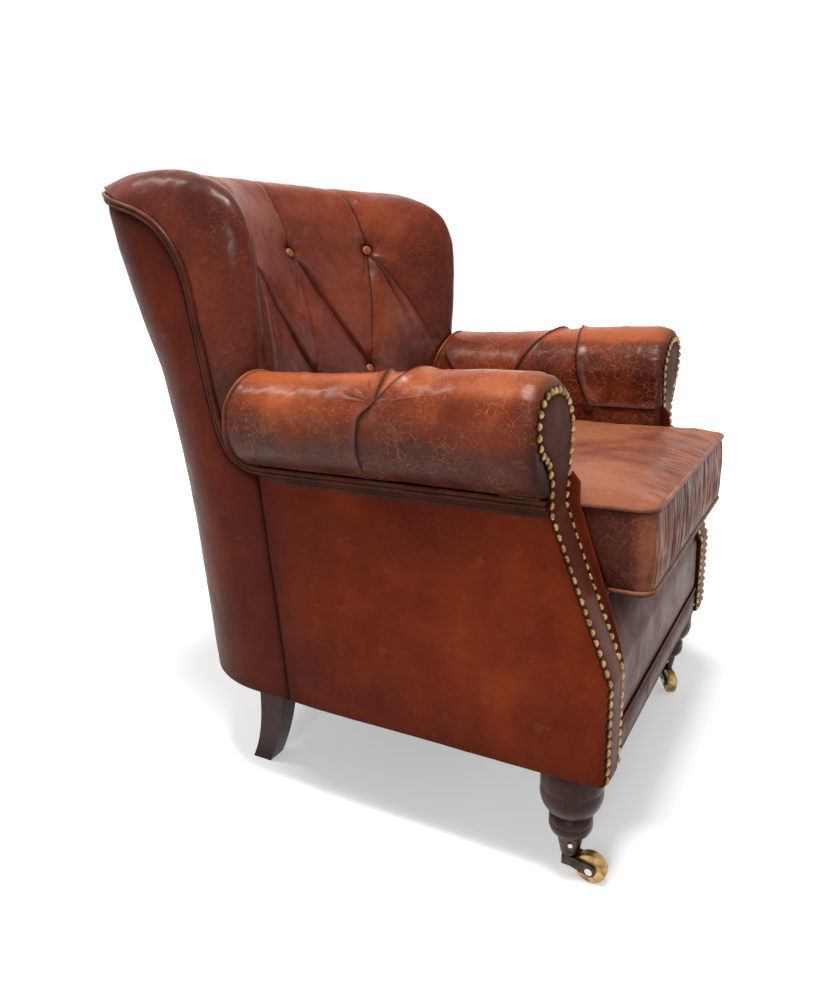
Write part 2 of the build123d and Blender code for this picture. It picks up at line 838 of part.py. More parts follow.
# Timber frame

def front_post():
    setback = facing_thickness
    front = facing_side_points(setback, rail_bottom_z, arm_cavity_top_z)
    rear = facing_side_points(setback + front_post_depth, rail_bottom_z, arm_cavity_top_z)
    return side_prism(polygon(*front, *reversed(rear)), front_post_inner_x, front_post_outer_x)


def front_rail():
    front = front_rail_front_y
    half = front_post_inner_x
    rail = block(-half, half, front, front + rail_thickness, rail_bottom_z, rail_top_z)
    face = facing_side_points(0, rail_bottom_z, rail_top_z + overrun)
    rear = facing_side_points(facing_thickness + rail_relief, rail_bottom_z, rail_top_z + overrun)
    room = side_prism(polygon(*face, *reversed(rear)), facing_inner_x - rail_relief, half + overrun)
    return rail - room - mirrored(room)


def back_rail():
    half = base_half_width - panel_thickness - rail_thickness
    rear = back_rail_front_y + rail_thickness
    return block(-half, half, back_rail_front_y, rear, rail_bottom_z, rail_top_z)


def side_rail(inner_envelope):
    outer = base_half_width - panel_thickness
    front = facing_foot_y + facing_thickness + front_post_depth
    rear = back_rail_front_y + rail_thickness
    rail = block(outer - rail_thickness, outer, front, rear, rail_bottom_z, rail_top_z)
    front_part = block(outer - rail_thickness, outer, front, shell_front_y, rail_bottom_z, rail_top_z)
    return (rail & inner_envelope) + front_part - front_post()


def back_post():
    foot_y = back_rail_front_y + rail_thickness
    top_y = foot_y + back_rear_slope * (back_post_top_z - back_rear_z)
    outline = polygon(
        (foot_y, rail_bottom_z),
        (foot_y, back_rear_z),
        (top_y, back_post_top_z),
        (top_y + back_post_depth, back_post_top_z),
        (foot_y + back_post_depth, back_rear_z),
        (foot_y + back_post_depth, rail_bottom_z),
    )
    return side_prism(outline, back_post_inner_x, back_post_outer_x)


def back_post_front_y(z):
    return back_rail_front_y + rail_thickness + back_rear_slope * (z - back_rear_z)


def crest_rail(inner_envelope):
    front = back_post_front_y(crest_rail_top_z)
    half = wing_frame_inner_x
    rail = block(-half, half, front, front + crest_rail_depth, back_post_top_z, crest_rail_top_z)
    return rail & inner_envelope


def stay_rail():
    low, high = back_rear_z, back_rear_z + stay_rail_height
    front_low, front_high = back_post_front_y(low), back_post_front_y(high)
    rear_low, rear_high = front_low + stay_rail_depth, front_high + stay_rail_depth
    outline = polygon((front_low, low), (front_high, high), (rear_high, high), (rear_low, low))
    return side_prism(outline, -back_post_inner_x, back_post_inner_x)


def wing_frame(inner_envelope):
    front = wing_frame_front_y
    width = wing_frame_width
    shoulder_y, shoulder_z = wing_frame_shoulder_y, wing_frame_shoulder_z
    outline = polygon(
        (front, rail_top_z),
        (front, wing_line_rise[1]),
        (shoulder_y, shoulder_z),
        (wing_frame_rear_y, crest_rail_top_z),
        (wing_frame_rear_y, back_post_top_z),
        (shoulder_y + width, back_post_top_z - width / 2),
        (front + width, wing_line_rise[1]),
        (front + width, rail_top_z),
    )
    board = side_prism(outline, wing_frame_inner_x, wing_frame_inner_x + wing_frame_thickness)
    return board & inner_envelope


def arm_rail():
    front = facing_head_y + facing_thickness + front_post_depth
    low = arm_cavity_top_z - arm_rail_height
    return block(arm_rail_inner_x, arm_rail_outer_x, front, wing_frame_front_y, low, arm_cavity_top_z)


def corner_blocks():
    """Glued blocks in the four inner corners of the seat frame."""
    side_x = base_half_width - panel_thickness - rail_thickness
    front_y = facing_foot_y + facing_thickness + front_post_depth
    rear_y = back_rail_front_y
    width = corner_block_width
    low, high = rail_bottom_z, rail_bottom_z + corner_block_height
    blocks = []
    for side in (-1, 1):
        near, far = sorted((side * side_x, side * (side_x - width)))
        blocks.append(block(near, far, front_y, front_y + width, low, high))
        blocks.append(block(near, far, rear_y - width, rear_y, low, high))
    return blocks


# Seat springing

def spring_path(x):
    """A zigzag wire: straight legs across, joined by half circles that alternate sides."""
    front_y = front_rail_front_y + spring_end_inset
    rear_y = back_rail_front_y + rail_thickness - spring_end_inset
    turns = int((rear_y - front_y) / (2 * spring_bend_radius))
    pitch = (rear_y - front_y) / turns
    z = rail_top_z + spring_lift
    half = spring_leg / 2
    edges = []
    for turn in range(turns):
        side = 1 if turn % 2 else -1
        y = front_y + turn * pitch
        edges.append(Line((x - side * half, y, z), (x + side * half, y, z)))
        crown = (x + side * (half + pitch / 2), y + pitch / 2, z)
        edges.append(ThreePointArc((x + side * half, y, z), crown, (x + side * half, y + pitch, z)))
    side = 1 if turns % 2 else -1
    edges.append(Line((x - side * half, rear_y, z), (x + side * half, rear_y, z)))
    return Wire(edges)


def spring_columns():
    middle = (spring_count - 1) / 2
    return [(index - middle) * spring_pitch_x for index in range(spring_count)]


def seat_springs():
    springs = []
    for x in spring_columns():
        path = spring_path(x)
        start = Plane(origin=path @ 0, z_dir=path % 0)
        springs.append(sweep(start * Circle(spring_wire_radius), path=path))
    return springs


def spring_clips():
    """A steel clip holds each spring's end leg on the front and back rails."""
    front_y = front_rail_front_y + spring_end_inset
    rear_y = back_rail_front_y + rail_thickness - spring_end_inset
    z = rail_top_z + spring_lift
    clips = []
    for x in spring_columns():
        for y in (front_y, rear_y):
            clip = block(
                x - clip_width / 2, x + clip_width / 2, y - clip_length / 2, y + clip_length / 2,
                rail_top_z, rail_top_z + clip_height,
            )
            wire = Rot(0, 90, 0) * Cylinder(spring_wire_radius + contact_gap / 2, clip_width + overrun)
            groove = block(
                x - clip_width, x + clip_width, y - clip_length / 4, y + clip_length / 4,
                rail_top_z + spring_wire_radius / 2, z,
            )
            clips.append(clip - groove - Pos(x, y, z) * wire)
    return clips


def seat_platform():
    half = arm_inner_x - contact_gap
    rear = back_pad_foot_y - contact_gap
    return block(-half, half, front_rail_front_y, rear, platform_bottom_z, cushion_bottom_z - contact_gap)


def back_straps():
    low, high = back_rear_z, crest_rail_top_z
    low_y, high_y = back_post_front_y(low), back_post_front_y(high)
    outline = polygon(
        (low_y - strap_thickness, low), (high_y - strap_thickness, high), (high_y, high), (low_y, low)
    )
    middle = (strap_count - 1) / 2
    straps = []
    for index in range(strap_count):
        x = (index - middle) * strap_pitch
        straps.append(side_prism(outline, x - strap_width / 2, x + strap_width / 2))
    return straps


def dust_cover(inner_envelope):
    """Cloth over the whole underside, out to the panels and round the curved back."""
    half = base_half_width - panel_thickness
    low = rail_bottom_z - dust_cover_thickness
    cloth = block(-half, half, front_rail_front_y, shell_front_y, low, rail_bottom_z)
    cloth += block(-half, half, shell_front_y, shell_rear_ys[0], low, rail_bottom_z) & inner_envelope
    leg_room = rear_leg_widths[0] / 2 + contact_gap
    leg_room_y = rear_leg_depths[0] / 2 + contact_gap
    for side in (-1, 1):
        x = side * rear_leg_xs[0]
        y = rear_leg_ys[0]
        cloth -= block(x - leg_room, x + leg_room, y - leg_room_y, y + leg_room_y, low - overrun, rail_top_z)
        cloth -= Pos(side * front_leg_x, front_leg_y, low) * Cylinder(bun_radius, overrun)
    return cloth


# Legs

def front_leg():
    """Turned leg: a bun, a cove, a ring and a tapered tip in the cup, revolved about its axis."""
    tip_radius = cup_inner_radius(leg_tip_z) - cup_fit
    mouth_radius = cup_inner_radius(cup_top_z) - cup_fit
    shoulder_z = base_bottom_z - leg_spigot_drop
    slow, fast = arc_mid_shares
    edges = [
        Line((0, leg_tip_z), (tip_radius, leg_tip_z)),
        Line((tip_radius, leg_tip_z), (mouth_radius, cup_top_z)),
        Line((mouth_radius, cup_top_z), (ring_foot_radius, cup_top_z)),
        rounding((ring_foot_radius, cup_top_z), (ring_radius, ring_z), False),
        ThreePointArc(
            (ring_radius, ring_z),
            (ring_radius - (ring_radius - cove_radius) * slow, ring_z + (cove_z - ring_z) * fast),
            (cove_radius, cove_z),
        ),
        Line((cove_radius, cove_z), (bun_foot_radius, bun_foot_z)),
        rounding((bun_foot_radius, bun_foot_z), (bun_radius, bun_z), False),
        ThreePointArc(
            (bun_radius, bun_z),
            (bun_radius - (bun_radius - bun_top_radius) * slow, bun_z + (shoulder_z - bun_z) * fast),
            (bun_top_radius, shoulder_z),
        ),
        Line((bun_top_radius, shoulder_z), (leg_spigot_radius, shoulder_z)),
        Line((leg_spigot_radius, shoulder_z), (leg_spigot_radius, rail_bottom_z)),
        Line((leg_spigot_radius, rail_bottom_z), (0, rail_bottom_z)),
        Line((0, rail_bottom_z), (0, leg_tip_z)),
    ]
    turned = revolve(Plane.XZ * make_face(Wire(edges)), Axis.Z)
    return Pos(front_leg_x, front_leg_y, 0) * turned


def rear_leg():
    sections = []
    rows = zip(rear_leg_heights, rear_leg_xs, rear_leg_ys, rear_leg_widths, rear_leg_depths)
    for z, x, y, width, depth in rows:
        sections.append(Pos(x, y, z) * Rectangle(width, depth))
    return loft(sections)


def leg_bolts():
    """A hanger bolt in each leg, driven up into the post or corner block above it."""
    low = rail_bottom_z - leg_bolt_in_leg
    bolt = Cylinder(leg_bolt_radius, leg_bolt_length, align=(Align.CENTER, Align.CENTER, Align.MIN))
    spots = [(front_leg_x, front_leg_y), (rear_leg_xs[0], rear_leg_ys[0])]
    return [Pos(side * x, y, low) * bolt for x, y in spots for side in (-1, 1)]


# Casters, built at the origin with the wheel trailing along +X, then set on their leg

def cup_outer_radius(z):
    share = (z - cup_bottom_z) / (cup_top_z - cup_bottom_z)
    return cup_bottom_radius + (cup_top_radius - cup_bottom_radius) * share


def cup_inner_radius(z):
    return cup_outer_radius(z) - cup_wall


def cup_screws():
    screws = []
    below = (Align.CENTER, Align.CENTER, Align.MAX)
    above = (Align.CENTER, Align.CENTER, Align.MIN)
    for heading in cup_screw_headings:
        shank = Cylinder(cup_screw_radius, cup_screw_length, align=below)
        head = Cylinder(cup_screw_head_radius, cup_screw_head_height, align=above)
        seat = cup_outer_radius(cup_screw_z + cup_screw_head_radius) + contact_gap / 2
        place = Rot(0, 0, heading) * Pos(seat, 0, cup_screw_z) * Rot(0, 90, 0)
        screws.append(place * (head + shank))
    return screws


def caster_cup():
    outer = Pos(0, 0, (cup_top_z + cup_bottom_z) / 2) * Cone(
        cup_bottom_radius, cup_top_radius, cup_top_z - cup_bottom_z
    )
    floor_z = cup_bottom_z + cup_floor
    hollow = Pos(0, 0, (cup_top_z + floor_z) / 2) * Cone(
        cup_inner_radius(floor_z), cup_inner_radius(cup_top_z), cup_top_z - floor_z
    )
    bore = Pos(0, 0, cup_bottom_z) * Cylinder(pivot_radius + running_clearance, overrun)
    cup = outer - hollow - bore
    for screw in cup_screws():
        cup -= screw
    return cup


def caster_pivot():
    """Riveted in the fork, turning in the cup's floor, with its head inside the cup."""
    head_z = cup_bottom_z + cup_floor + pivot_head_gap
    low = (Align.CENTER, Align.CENTER, Align.MIN)
    pin = Pos(0, 0, fork_bottom_z) * Cylinder(pivot_radius, head_z - fork_bottom_z, align=low)
    head = Pos(0, 0, head_z) * Cylinder(pivot_head_radius, pivot_head_height, align=low)
    return pin + head


def caster_fork():
    """Two cheeks joined by a neck block in front of the wheel, with a round top under the cup."""
    top_z = cup_bottom_z - fork_top_gap
    inner = wheel_width / 2 + wheel_side_gap
    outer = inner + fork_wall
    cheek = make_hull(
        [
            *(Pos(caster_trail, wheel_radius) * Circle(fork_boss_radius)).edges(),
            *Polyline(
                (-fork_neck_front, top_z), (fork_neck_radius, top_z), (fork_neck_front, fork_bottom_z),
                (-fork_neck_front, fork_bottom_z + fork_wall), close=True,
            ).edges(),
        ]
    )
    cheeks = front_prism(cheek, inner, outer) + front_prism(cheek, -outer, -inner)
    low = (Align.CENTER, Align.CENTER, Align.MIN)
    neck = block(-fork_neck_front, fork_neck_front, -outer, outer, fork_bottom_z, top_z)
    crown = Pos(0, 0, top_z - fork_wall) * Cylinder(fork_neck_radius, fork_wall, align=low)
    fork = cheeks + neck + crown
    swing = Pos(caster_trail, 0, wheel_radius) * (
        Rot(90, 0, 0) * Cylinder(wheel_radius + wheel_side_gap, 2 * inner)
    )
    fork -= swing
    fork -= Pos(0, 0, fork_bottom_z) * Cylinder(pivot_radius, overrun * 2)
    fork -= Pos(caster_trail, 0, wheel_radius) * (Rot(90, 0, 0) * Cylinder(axle_radius, 2 * outer + overrun))
    return fork


def caster_axle():
    outer = wheel_width / 2 + wheel_side_gap + fork_wall
    shaft = Cylinder(axle_radius, 2 * outer)
    heads = [
        Pos(0, 0, side * (outer + axle_head_height / 2)) * Cylinder(axle_head_radius, axle_head_height)
        for side in (-1, 1)
    ]
    return Pos(caster_trail, 0, wheel_radius) * (Rot(90, 0, 0) * (shaft + heads[0] + heads[1]))


def caster_wheel():
    wheel = fillet(Cylinder(wheel_radius, wheel_width).edges().filter_by(GeomType.CIRCLE), wheel_edge)
    wheel -= Cylinder(axle_radius + running_clearance, wheel_width + overrun)
    return Pos(caster_trail, 0, wheel_radius) * (Rot(90, 0, 0) * wheel)


def on_caster(shape, side_name):
    side = 1 if side_name == "left" else -1
    return Pos(side * front_leg_x, front_leg_y, 0) * Rot(0, 0, caster_headings[side_name]) * shape


def on_cup(shape, side_name):
    side = 1 if side_name == "left" else -1
    return Pos(side * front_leg_x, front_leg_y, 0) * shape


# Seat cushion

def cushion_outline(z):
    """The outline at a height, whose ears end just in front of the sloping facings."""
    half, ear = cushion_half_width, cushion_ear_half_width
    front_y, rear_y = cushion_front_y, cushion_rear_y
    ear_y = facing_face_y(z) - cushion_nail_gap
    outline = polygon(
        (-ear, front_y), (ear, front_y), (ear, ear_y), (half, ear_y),
        (half, rear_y), (-half, rear_y), (-half, ear_y), (-ear, ear_y),
    )
    round_corners = [v for v in outline.vertices() if abs(v.Y - ear_y) > cushion_corner_radius]
    return fillet(round_corners, cushion_corner_radius)


def behind_ear():
    """The room between an ear's sloping rear and the arm, on the sitter's left."""
    low = cushion_bottom_z - overrun
    high = cushion_edge_z + cushion_crown + overrun
    front = facing_side_points(-cushion_nail_gap, low, high)
    outline = polygon(*front, (cushion_rear_y, high), (cushion_rear_y, low))
    return side_prism(outline, cushion_half_width, cushion_ear_half_width + overrun)


def crown_face(low, high, flat_share):
    """An upright section with a domed top between its flat shoulders."""
    middle, half = (low + high) / 2, (high - low) / 2 * flat_share
    edges = [
        Line((low, cushion_bottom_z), (low, cushion_edge_z)),
        Line((low, cushion_edge_z), (middle - half, cushion_edge_z)),
        ThreePointArc(
            (middle - half, cushion_edge_z),
            (middle, cushion_edge_z + cushion_crown),
            (middle + half, cushion_edge_z),
        ),
        Line((middle + half, cushion_edge_z), (high, cushion_edge_z)),
        Line((high, cushion_edge_z), (high, cushion_bottom_z)),
        Line((high, cushion_bottom_z), (low, cushion_bottom_z)),
    ]
    return make_face(Wire(edges))


def cushion_piping():
    """Piping round the top and bottom seams of the cushion."""
    rings = []
    for z in (cushion_bottom_z + cushion_piping_radius, cushion_edge_z - cushion_piping_radius):
        path = Pos(0, 0, z) * cushion_outline(z).face().outer_wire()
        start = Plane(origin=path @ 0, z_dir=path % 0)
        rings.append(sweep(start * Circle(cushion_piping_radius), path=path, transition=Transition.RIGHT))
    return rings


def seat_cushion(pipings):
    top_z = cushion_edge_z + cushion_crown + overrun
    outline = cushion_outline(cushion_edge_z - cushion_piping_radius)
    body = Pos(0, 0, cushion_bottom_z) * extrude(outline, top_z - cushion_bottom_z)
    body = body - behind_ear() - mirrored(behind_ear())
    ear = cushion_ear_half_width
    across = front_prism(
        crown_face(-ear, ear, cushion_half_width / ear), cushion_front_y - overrun, cushion_rear_y + overrun
    )
    along = side_prism(
        crown_face(cushion_front_y, cushion_rear_y, cushion_crown_flat_share), -ear - overrun, ear + overrun
    )
    body = body & across & along
    span = 2 * cushion_ear_half_width * boxing_pleat_span_share
    low = cushion_bottom_z + 2 * cushion_piping_radius
    high = cushion_edge_z - 2 * cushion_piping_radius
    for index in range(boxing_pleats):
        lean = boxing_pleat_lean_shares[index % len(boxing_pleat_lean_shares)] * boxing_pleat_radius
        x = span * (index / (boxing_pleats - 1) - 1 / 2) + lean
        groove = Cylinder(boxing_pleat_radius, high - low, align=(Align.CENTER, Align.CENTER, Align.MIN))
        body -= Pos(x, cushion_front_y, low) * groove
    for piping in pipings:
        body -= piping
    return body


def main():
    os.makedirs("parts", exist_ok=True)
    envelope = shell_envelope(panel_thickness)
    channels = [piping_tube(side, piping_radius + piping_gap) for side in (-1, 1)]
    bolts = leg_bolts()

    frame_pieces = {
        "seat_front_rail": front_rail(),
        "seat_back_rail": back_rail(),
        "crest_rail": crest_rail(envelope),
        "back_stay_rail": stay_rail(),
    }
    paired = {
        "seat_side_rail": side_rail(envelope),
        "front_post": front_post(),
        "back_post": back_post(),
        "wing_frame": wing_frame(envelope),
        "arm_rail": arm_rail(),
    }
    for name, shape in paired.items():
        frame_pieces[name + "_left"] = shape
        frame_pieces[name + "_right"] = mirrored(shape)
    for name in ("front_post_left", "front_post_right"):
        for bolt in bolts:
            frame_pieces[name] -= bolt
    for name, shape in frame_pieces.items():
        save(name, shape)

    blocks = corner_blocks()
    blocks = [piece - bolts[2] - bolts[3] for piece in blocks]
    save("corner_blocks", group(blocks))
    save("leg_bolts", group(bolts))
    save("seat_springs", group(seat_springs()))
    save("spring_clips", group(spring_clips()))
    save("seat_platform", seat_platform())
    save("back_straps", group(back_straps()))
    save("dust_cover", dust_cover(envelope))

    hidden_in_back = ("crest_rail", "wing_frame_left", "wing_frame_right", "arm_rail_left", "arm_rail_right")
    back_timbers = [frame_pieces[name] for name in hidden_in_back]
    save("inside_back", back_pad(back_timbers, channels))
    save("outside_back", outside_back(channels))
    save("back_buttons", group(place * button() for place in back_button_places()))
    save("edge_piping", group(piping_tube(side, piping_radius) for side in (-1, 1)))

    arm = arm_pad(channels[1])
    panel = outside_arm()
    face = facing()
    nails = facing_nails()
    arm_buttons = [place * button() for place in arm_button_places()]
    for side_name, place in (("left", lambda shape: shape), ("right", mirrored)):
        save("arm_pad_" + side_name, place(arm))
        save("outside_arm_" + side_name, place(panel))
        save("arm_facing_" + side_name, place(face))
        save("facing_nails_" + side_name, group(place(nail) for nail in nails))
    save("arm_buttons", group(arm_buttons + [mirrored(piece) for piece in arm_buttons]))
    save("front_border", front_border())
    save("lower_band", lower_band())

    pipings = cushion_piping()
    save("seat_cushion", seat_cushion(pipings))
    save("cushion_piping", group(pipings))

    leg = front_leg() - bolts[1]
    hind_leg = rear_leg() - bolts[3]
    for side_name, place in (("left", lambda shape: shape), ("right", mirrored)):
        screws = [on_cup(screw, side_name) for screw in cup_screws()]
        turned = place(leg)
        for screw in screws:
            turned -= screw
        save("front_leg_" + side_name, turned)
        save("rear_leg_" + side_name, place(hind_leg))
        save("caster_cup_" + side_name, on_cup(caster_cup(), side_name))
        save("caster_pivot_" + side_name, on_caster(caster_pivot(), side_name))
        save("caster_fork_" + side_name, on_caster(caster_fork(), side_name))
        save("caster_axle_" + side_name, on_caster(caster_axle(), side_name))
        save("caster_wheel_" + side_name, on_caster(caster_wheel(), side_name))
    save("cup_screws", group(on_cup(screw, name) for name in ("left", "right") for screw in cup_screws()))


main()
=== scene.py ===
import math

import bmesh
import bpy
import numpy as np
from mathutils import Matrix, Vector


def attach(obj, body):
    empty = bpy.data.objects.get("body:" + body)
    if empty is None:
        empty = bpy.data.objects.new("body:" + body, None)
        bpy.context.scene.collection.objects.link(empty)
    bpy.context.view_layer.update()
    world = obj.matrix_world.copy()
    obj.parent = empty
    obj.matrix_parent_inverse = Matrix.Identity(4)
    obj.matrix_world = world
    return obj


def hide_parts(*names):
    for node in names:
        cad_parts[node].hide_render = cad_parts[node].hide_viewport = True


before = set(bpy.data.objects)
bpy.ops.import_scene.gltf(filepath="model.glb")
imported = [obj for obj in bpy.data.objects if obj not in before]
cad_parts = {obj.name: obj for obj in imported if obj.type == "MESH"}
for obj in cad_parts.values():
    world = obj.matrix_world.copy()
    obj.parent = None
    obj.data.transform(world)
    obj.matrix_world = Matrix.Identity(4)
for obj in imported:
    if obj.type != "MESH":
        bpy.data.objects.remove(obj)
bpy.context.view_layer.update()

# Sizes of the chair, in metres, as its construction has them
base_half_width = 0.293
base_bottom_z = 0.153
pad_half_width = 0.304
ridge_share = 0.87
side_seam = ((0.092, 0.153), (0.116, 0.478))

arm_rear_y = 0.138
arm_rear_z = 0.520
arm_rear_lean = 0.25
arm_seam = (0.2905, 0.4790)
arm_bulge = (0.334, 0.553)
arm_top = (0.294, 0.6115)
arm_shoulder = (0.212, 0.545)
arm_inner_x = 0.212
arm_foot_z = 0.352
arc_shares = (0.293, 0.707)
arm_rows = 300
arm_tuft = (1.36, -0.092)
arm_rear_drop = 0.014
arm_buttons = ((-0.158, 0.490), (0.002, 0.490))

facing_foot_y = -0.341
facing_head_y = -0.270
facing_kink_z = 0.276
facing_neck_z = 0.461
facing_outer_x = 0.292
facing_inner_x = 0.231
facing_waist_z = 0.495
facing_throat = (0.3045, 0.522)
facing_bulge = (0.333, 0.566)
facing_top = (0.286, 0.599)
facing_shoulder = (0.215, 0.545)
facing_neck_x = 0.229
facing_hip_z = 0.400
facing_rise = facing_neck_z - facing_kink_z
facing_run = facing_head_y - facing_foot_y
nail_inset = 0.0075
nail_pitch = 0.012

cushion_front_y = -0.368
cushion_rear_y = 0.115
cushion_half = 0.208
cushion_ear = 0.224
cushion_ear_gap = 0.007
cushion_bottom_z = 0.358
cushion_top_z = 0.460
cushion_crown = 0.018
wide_corner = 0.022
tight_corner = 0.008

# Inside back: its grid, its rear corner in plan, and side profiles (y, z) at the middle, at the
# wing's ridge and at its outer edge
pad_columns = 500
pad_rows = 600
pad_corner = (0.213, 0.279, 0.092)
pad_middle = (
    (0.119, 0.352), (0.119, 0.465), (0.163, 0.560), (0.205, 0.650), (0.2455, 0.735),
    (0.282, 0.812), (0.303, 0.841), (0.341, 0.850), (0.361, 0.842), (0.371, 0.824),
)
pad_ridge = (
    (0.119, 0.352), (0.119, 0.465), (0.115, 0.560), (0.1115, 0.640), (0.109, 0.700),
    (0.112, 0.752), (0.134, 0.800), (0.205, 0.833), (0.290, 0.838), (0.371, 0.826),
)
pad_edge = (
    (0.170, 0.352), (0.168, 0.465), (0.171, 0.560), (0.1795, 0.640), (0.187, 0.697),
    (0.201, 0.736), (0.228, 0.772), (0.262, 0.792), (0.277, 0.797), (0.292, 0.801),
)

# Outside back: plan sections as height, half width, corner radius and rear face
shell_columns = 380
shell_levels = 262
shell_rows = np.array((
    (0.1525, 0.2925, 0.160, 0.306), (0.220, 0.2932, 0.156, 0.307), (0.285, 0.2932, 0.150, 0.308),
    (0.360, 0.2932, 0.142, 0.310), (0.448, 0.2935, 0.135, 0.314), (0.520, 0.296, 0.127, 0.318),
    (0.588, 0.299, 0.120, 0.324), (0.654, 0.303, 0.110, 0.340), (0.746, 0.305, 0.095, 0.358),
    (0.830, 0.305, 0.090, 0.371),
))
welt_gap = 0.0065
panel_top_z = 0.4745

# Tufts of the back
back_buttons = ((-0.150, 0.745), (0.0, 0.745), (0.150, 0.745), (-0.075, 0.560), (0.075, 0.560))
back_tuft_depth = 0.017

random = np.random.default_rng(7)
hash_primes = (374761393, 668265263, 2147483647)
hash_mixer = 1274126177


# Curves and grids

def hermite(points, steps=14):
    """A smooth curve through the points, finely divided."""
    p = np.asarray(points, float)
    gaps = np.sqrt(np.linalg.norm(np.diff(p, axis=0), axis=1)) + 1e-9
    slopes = np.diff(p, axis=0) / gaps[:, None]
    inner = (slopes[:-1] * gaps[1:, None] + slopes[1:] * gaps[:-1, None]) / (gaps[:-1] + gaps[1:])[:, None]
    tangents = np.vstack([slopes[:1], inner, slopes[-1:]])
    t = np.linspace(0, 1, steps, endpoint=False)[:, None]
    runs = []
    for i, gap in enumerate(gaps):
        a, b = p[i], p[i + 1]
        ta, tb = tangents[i] * gap, tangents[i + 1] * gap
        runs.append(
            (2 * t ** 3 - 3 * t ** 2 + 1) * a + (t ** 3 - 2 * t ** 2 + t) * ta
            + (3 * t ** 2 - 2 * t ** 3) * b + (t ** 3 - t ** 2) * tb
        )
    return np.vstack(runs + [p[-1:]])


def curved(points):
    """A smooth curve through three or more points, or the straight line between two."""
    return hermite(points) if len(points) > 2 else np.asarray(points, float)


def even(line, count):
    """The same line in even steps along its length."""
    line = np.asarray(line, float)
    run = np.concatenate([[0], np.cumsum(np.linalg.norm(np.diff(line, axis=0), axis=1))])
    where = np.linspace(0, run[-1], count)
    return np.stack([np.interp(where, run, line[:, k]) for k in range(line.shape[1])], 1)


def length_of(line):
    return float(np.linalg.norm(np.diff(np.asarray(line, float), axis=0), axis=1).sum())


def arc(start, middle, end, steps=16):
    """Points of the circle through three points in a plane, from start to end."""
    (ax, ay), (bx, by), (cx, cy) = start, middle, end
    d = 2 * (ax * (by - cy) + bx * (cy - ay) + cx * (ay - by))
    a, b, c = ax ** 2 + ay ** 2, bx ** 2 + by ** 2, cx ** 2 + cy ** 2
    ux = (a * (by - cy) + b * (cy - ay) + c * (ay - by)) / d
    uy = (a * (cx - bx) + b * (ax - cx) + c * (bx - ax)) / d
    r = math.hypot(ax - ux, ay - uy)
    a0, a1, a2 = (math.atan2(y - uy, x - ux) for x, y in (start, middle, end))
    turn = (a2 - a0) % (2 * math.pi)
    if (a1 - a0) % (2 * math.pi) > turn:
        turn -= 2 * math.pi
    angles = a0 + turn * np.linspace(0, 1, steps)
    return np.stack([ux + r * np.cos(angles), uy + r * np.sin(angles)], 1)


def rounding(start, end, upright_first):
    """An arc of nearly a quarter turn."""
    slow, fast = arc_shares
    along_x, along_z = (slow, fast) if upright_first else (fast, slow)
    middle = (start[0] + (end[0] - start[0]) * along_x, start[1] + (end[1] - start[1]) * along_z)
    return arc(start, middle, end)


def smoothstep(low, high, value):
    t = np.clip((value - low) / (high - low), 0, 1)
    return t * t * (3 - 2 * t)


def grid_normals(grid, closed_u=False):
    """Unit normals of a grid of points, from its rows and columns."""
    if closed_u:
        du = np.roll(grid, -1, 0) - np.roll(grid, 1, 0)
    else:
        du = np.gradient(grid, axis=0)
    dv = np.gradient(grid, axis=1)
    n = np.cross(du, dv)
    return n / (np.linalg.norm(n, axis=2, keepdims=True) + 1e-12)


def smooth_rows(grid, sigma):
    """Blurs a grid along its first direction, with sigma in steps and fixed ends."""
    reach = int(3 * sigma) + 1
    weights = np.exp(-0.5 * (np.arange(-reach, reach + 1) / sigma) ** 2)
    weights /= weights.sum()
    first, last = grid[:1], grid[-1:]
    before = 2 * first - grid[reach:0:-1]
    after = 2 * last - grid[-2:-reach - 2:-1]
    padded = np.concatenate([before, grid, after])
    return sum(w * padded[k:k + len(grid)] for k, w in enumerate(weights))


def value_noise(points, scale, seed=0):
    """Smooth noise from -1 to 1 at points, with features about 1/scale wide."""
    p = np.asarray(points, float) * scale + seed * 17.3
    cell = np.floor(p).astype(int)
    f = p - cell
    f = f * f * (3 - 2 * f)

    def value(step):
        h = ((cell + step) * hash_primes).sum(-1)
        h = (h ^ (h >> 13)) * hash_mixer
        h = h ^ (h >> 16)
        return (h & 0xFFFF) / 32767.5 - 1

    total = 0
    for step in np.ndindex(2, 2, 2):
        share = np.where(step, f, 1 - f)
        total = total + value(step) * share[..., 0] * share[..., 1] * share[..., 2]
    return total


def waves(points, seed, *parts):
    """The sum of noises given as (height, scale), each with a seed of its own."""
    return sum(height * value_noise(points, scale, seed + k) for k, (height, scale) in enumerate(parts))


# Meshes

def make_mesh(name, verts, faces, fields=None):
    """A smooth-shaded object in the scene, with a number per point for each named field."""
    verts = np.ascontiguousarray(verts, np.float32)
    faces = np.ascontiguousarray(faces, np.int32)
    mesh = bpy.data.meshes.new(name)
    mesh.vertices.add(len(verts))
    mesh.vertices.foreach_set("co", verts.ravel())
    mesh.loops.add(faces.size)
    mesh.loops.foreach_set("vertex_index", faces.ravel())
    mesh.polygons.add(len(faces))
    mesh.polygons.foreach_set("loop_start", np.arange(len(faces), dtype=np.int32) * faces.shape[1])
    mesh.update(calc_edges=True)
    mesh.polygons.foreach_set("use_smooth", np.ones(len(faces), bool))
    for field, values in (fields or {}).items():
        attribute = mesh.attributes.new(field, "FLOAT", "POINT")
        attribute.data.foreach_set("value", np.ascontiguousarray(values, np.float32).ravel())
    piece = bpy.data.objects.new(name, mesh)
    bpy.context.scene.collection.objects.link(piece)
    return piece


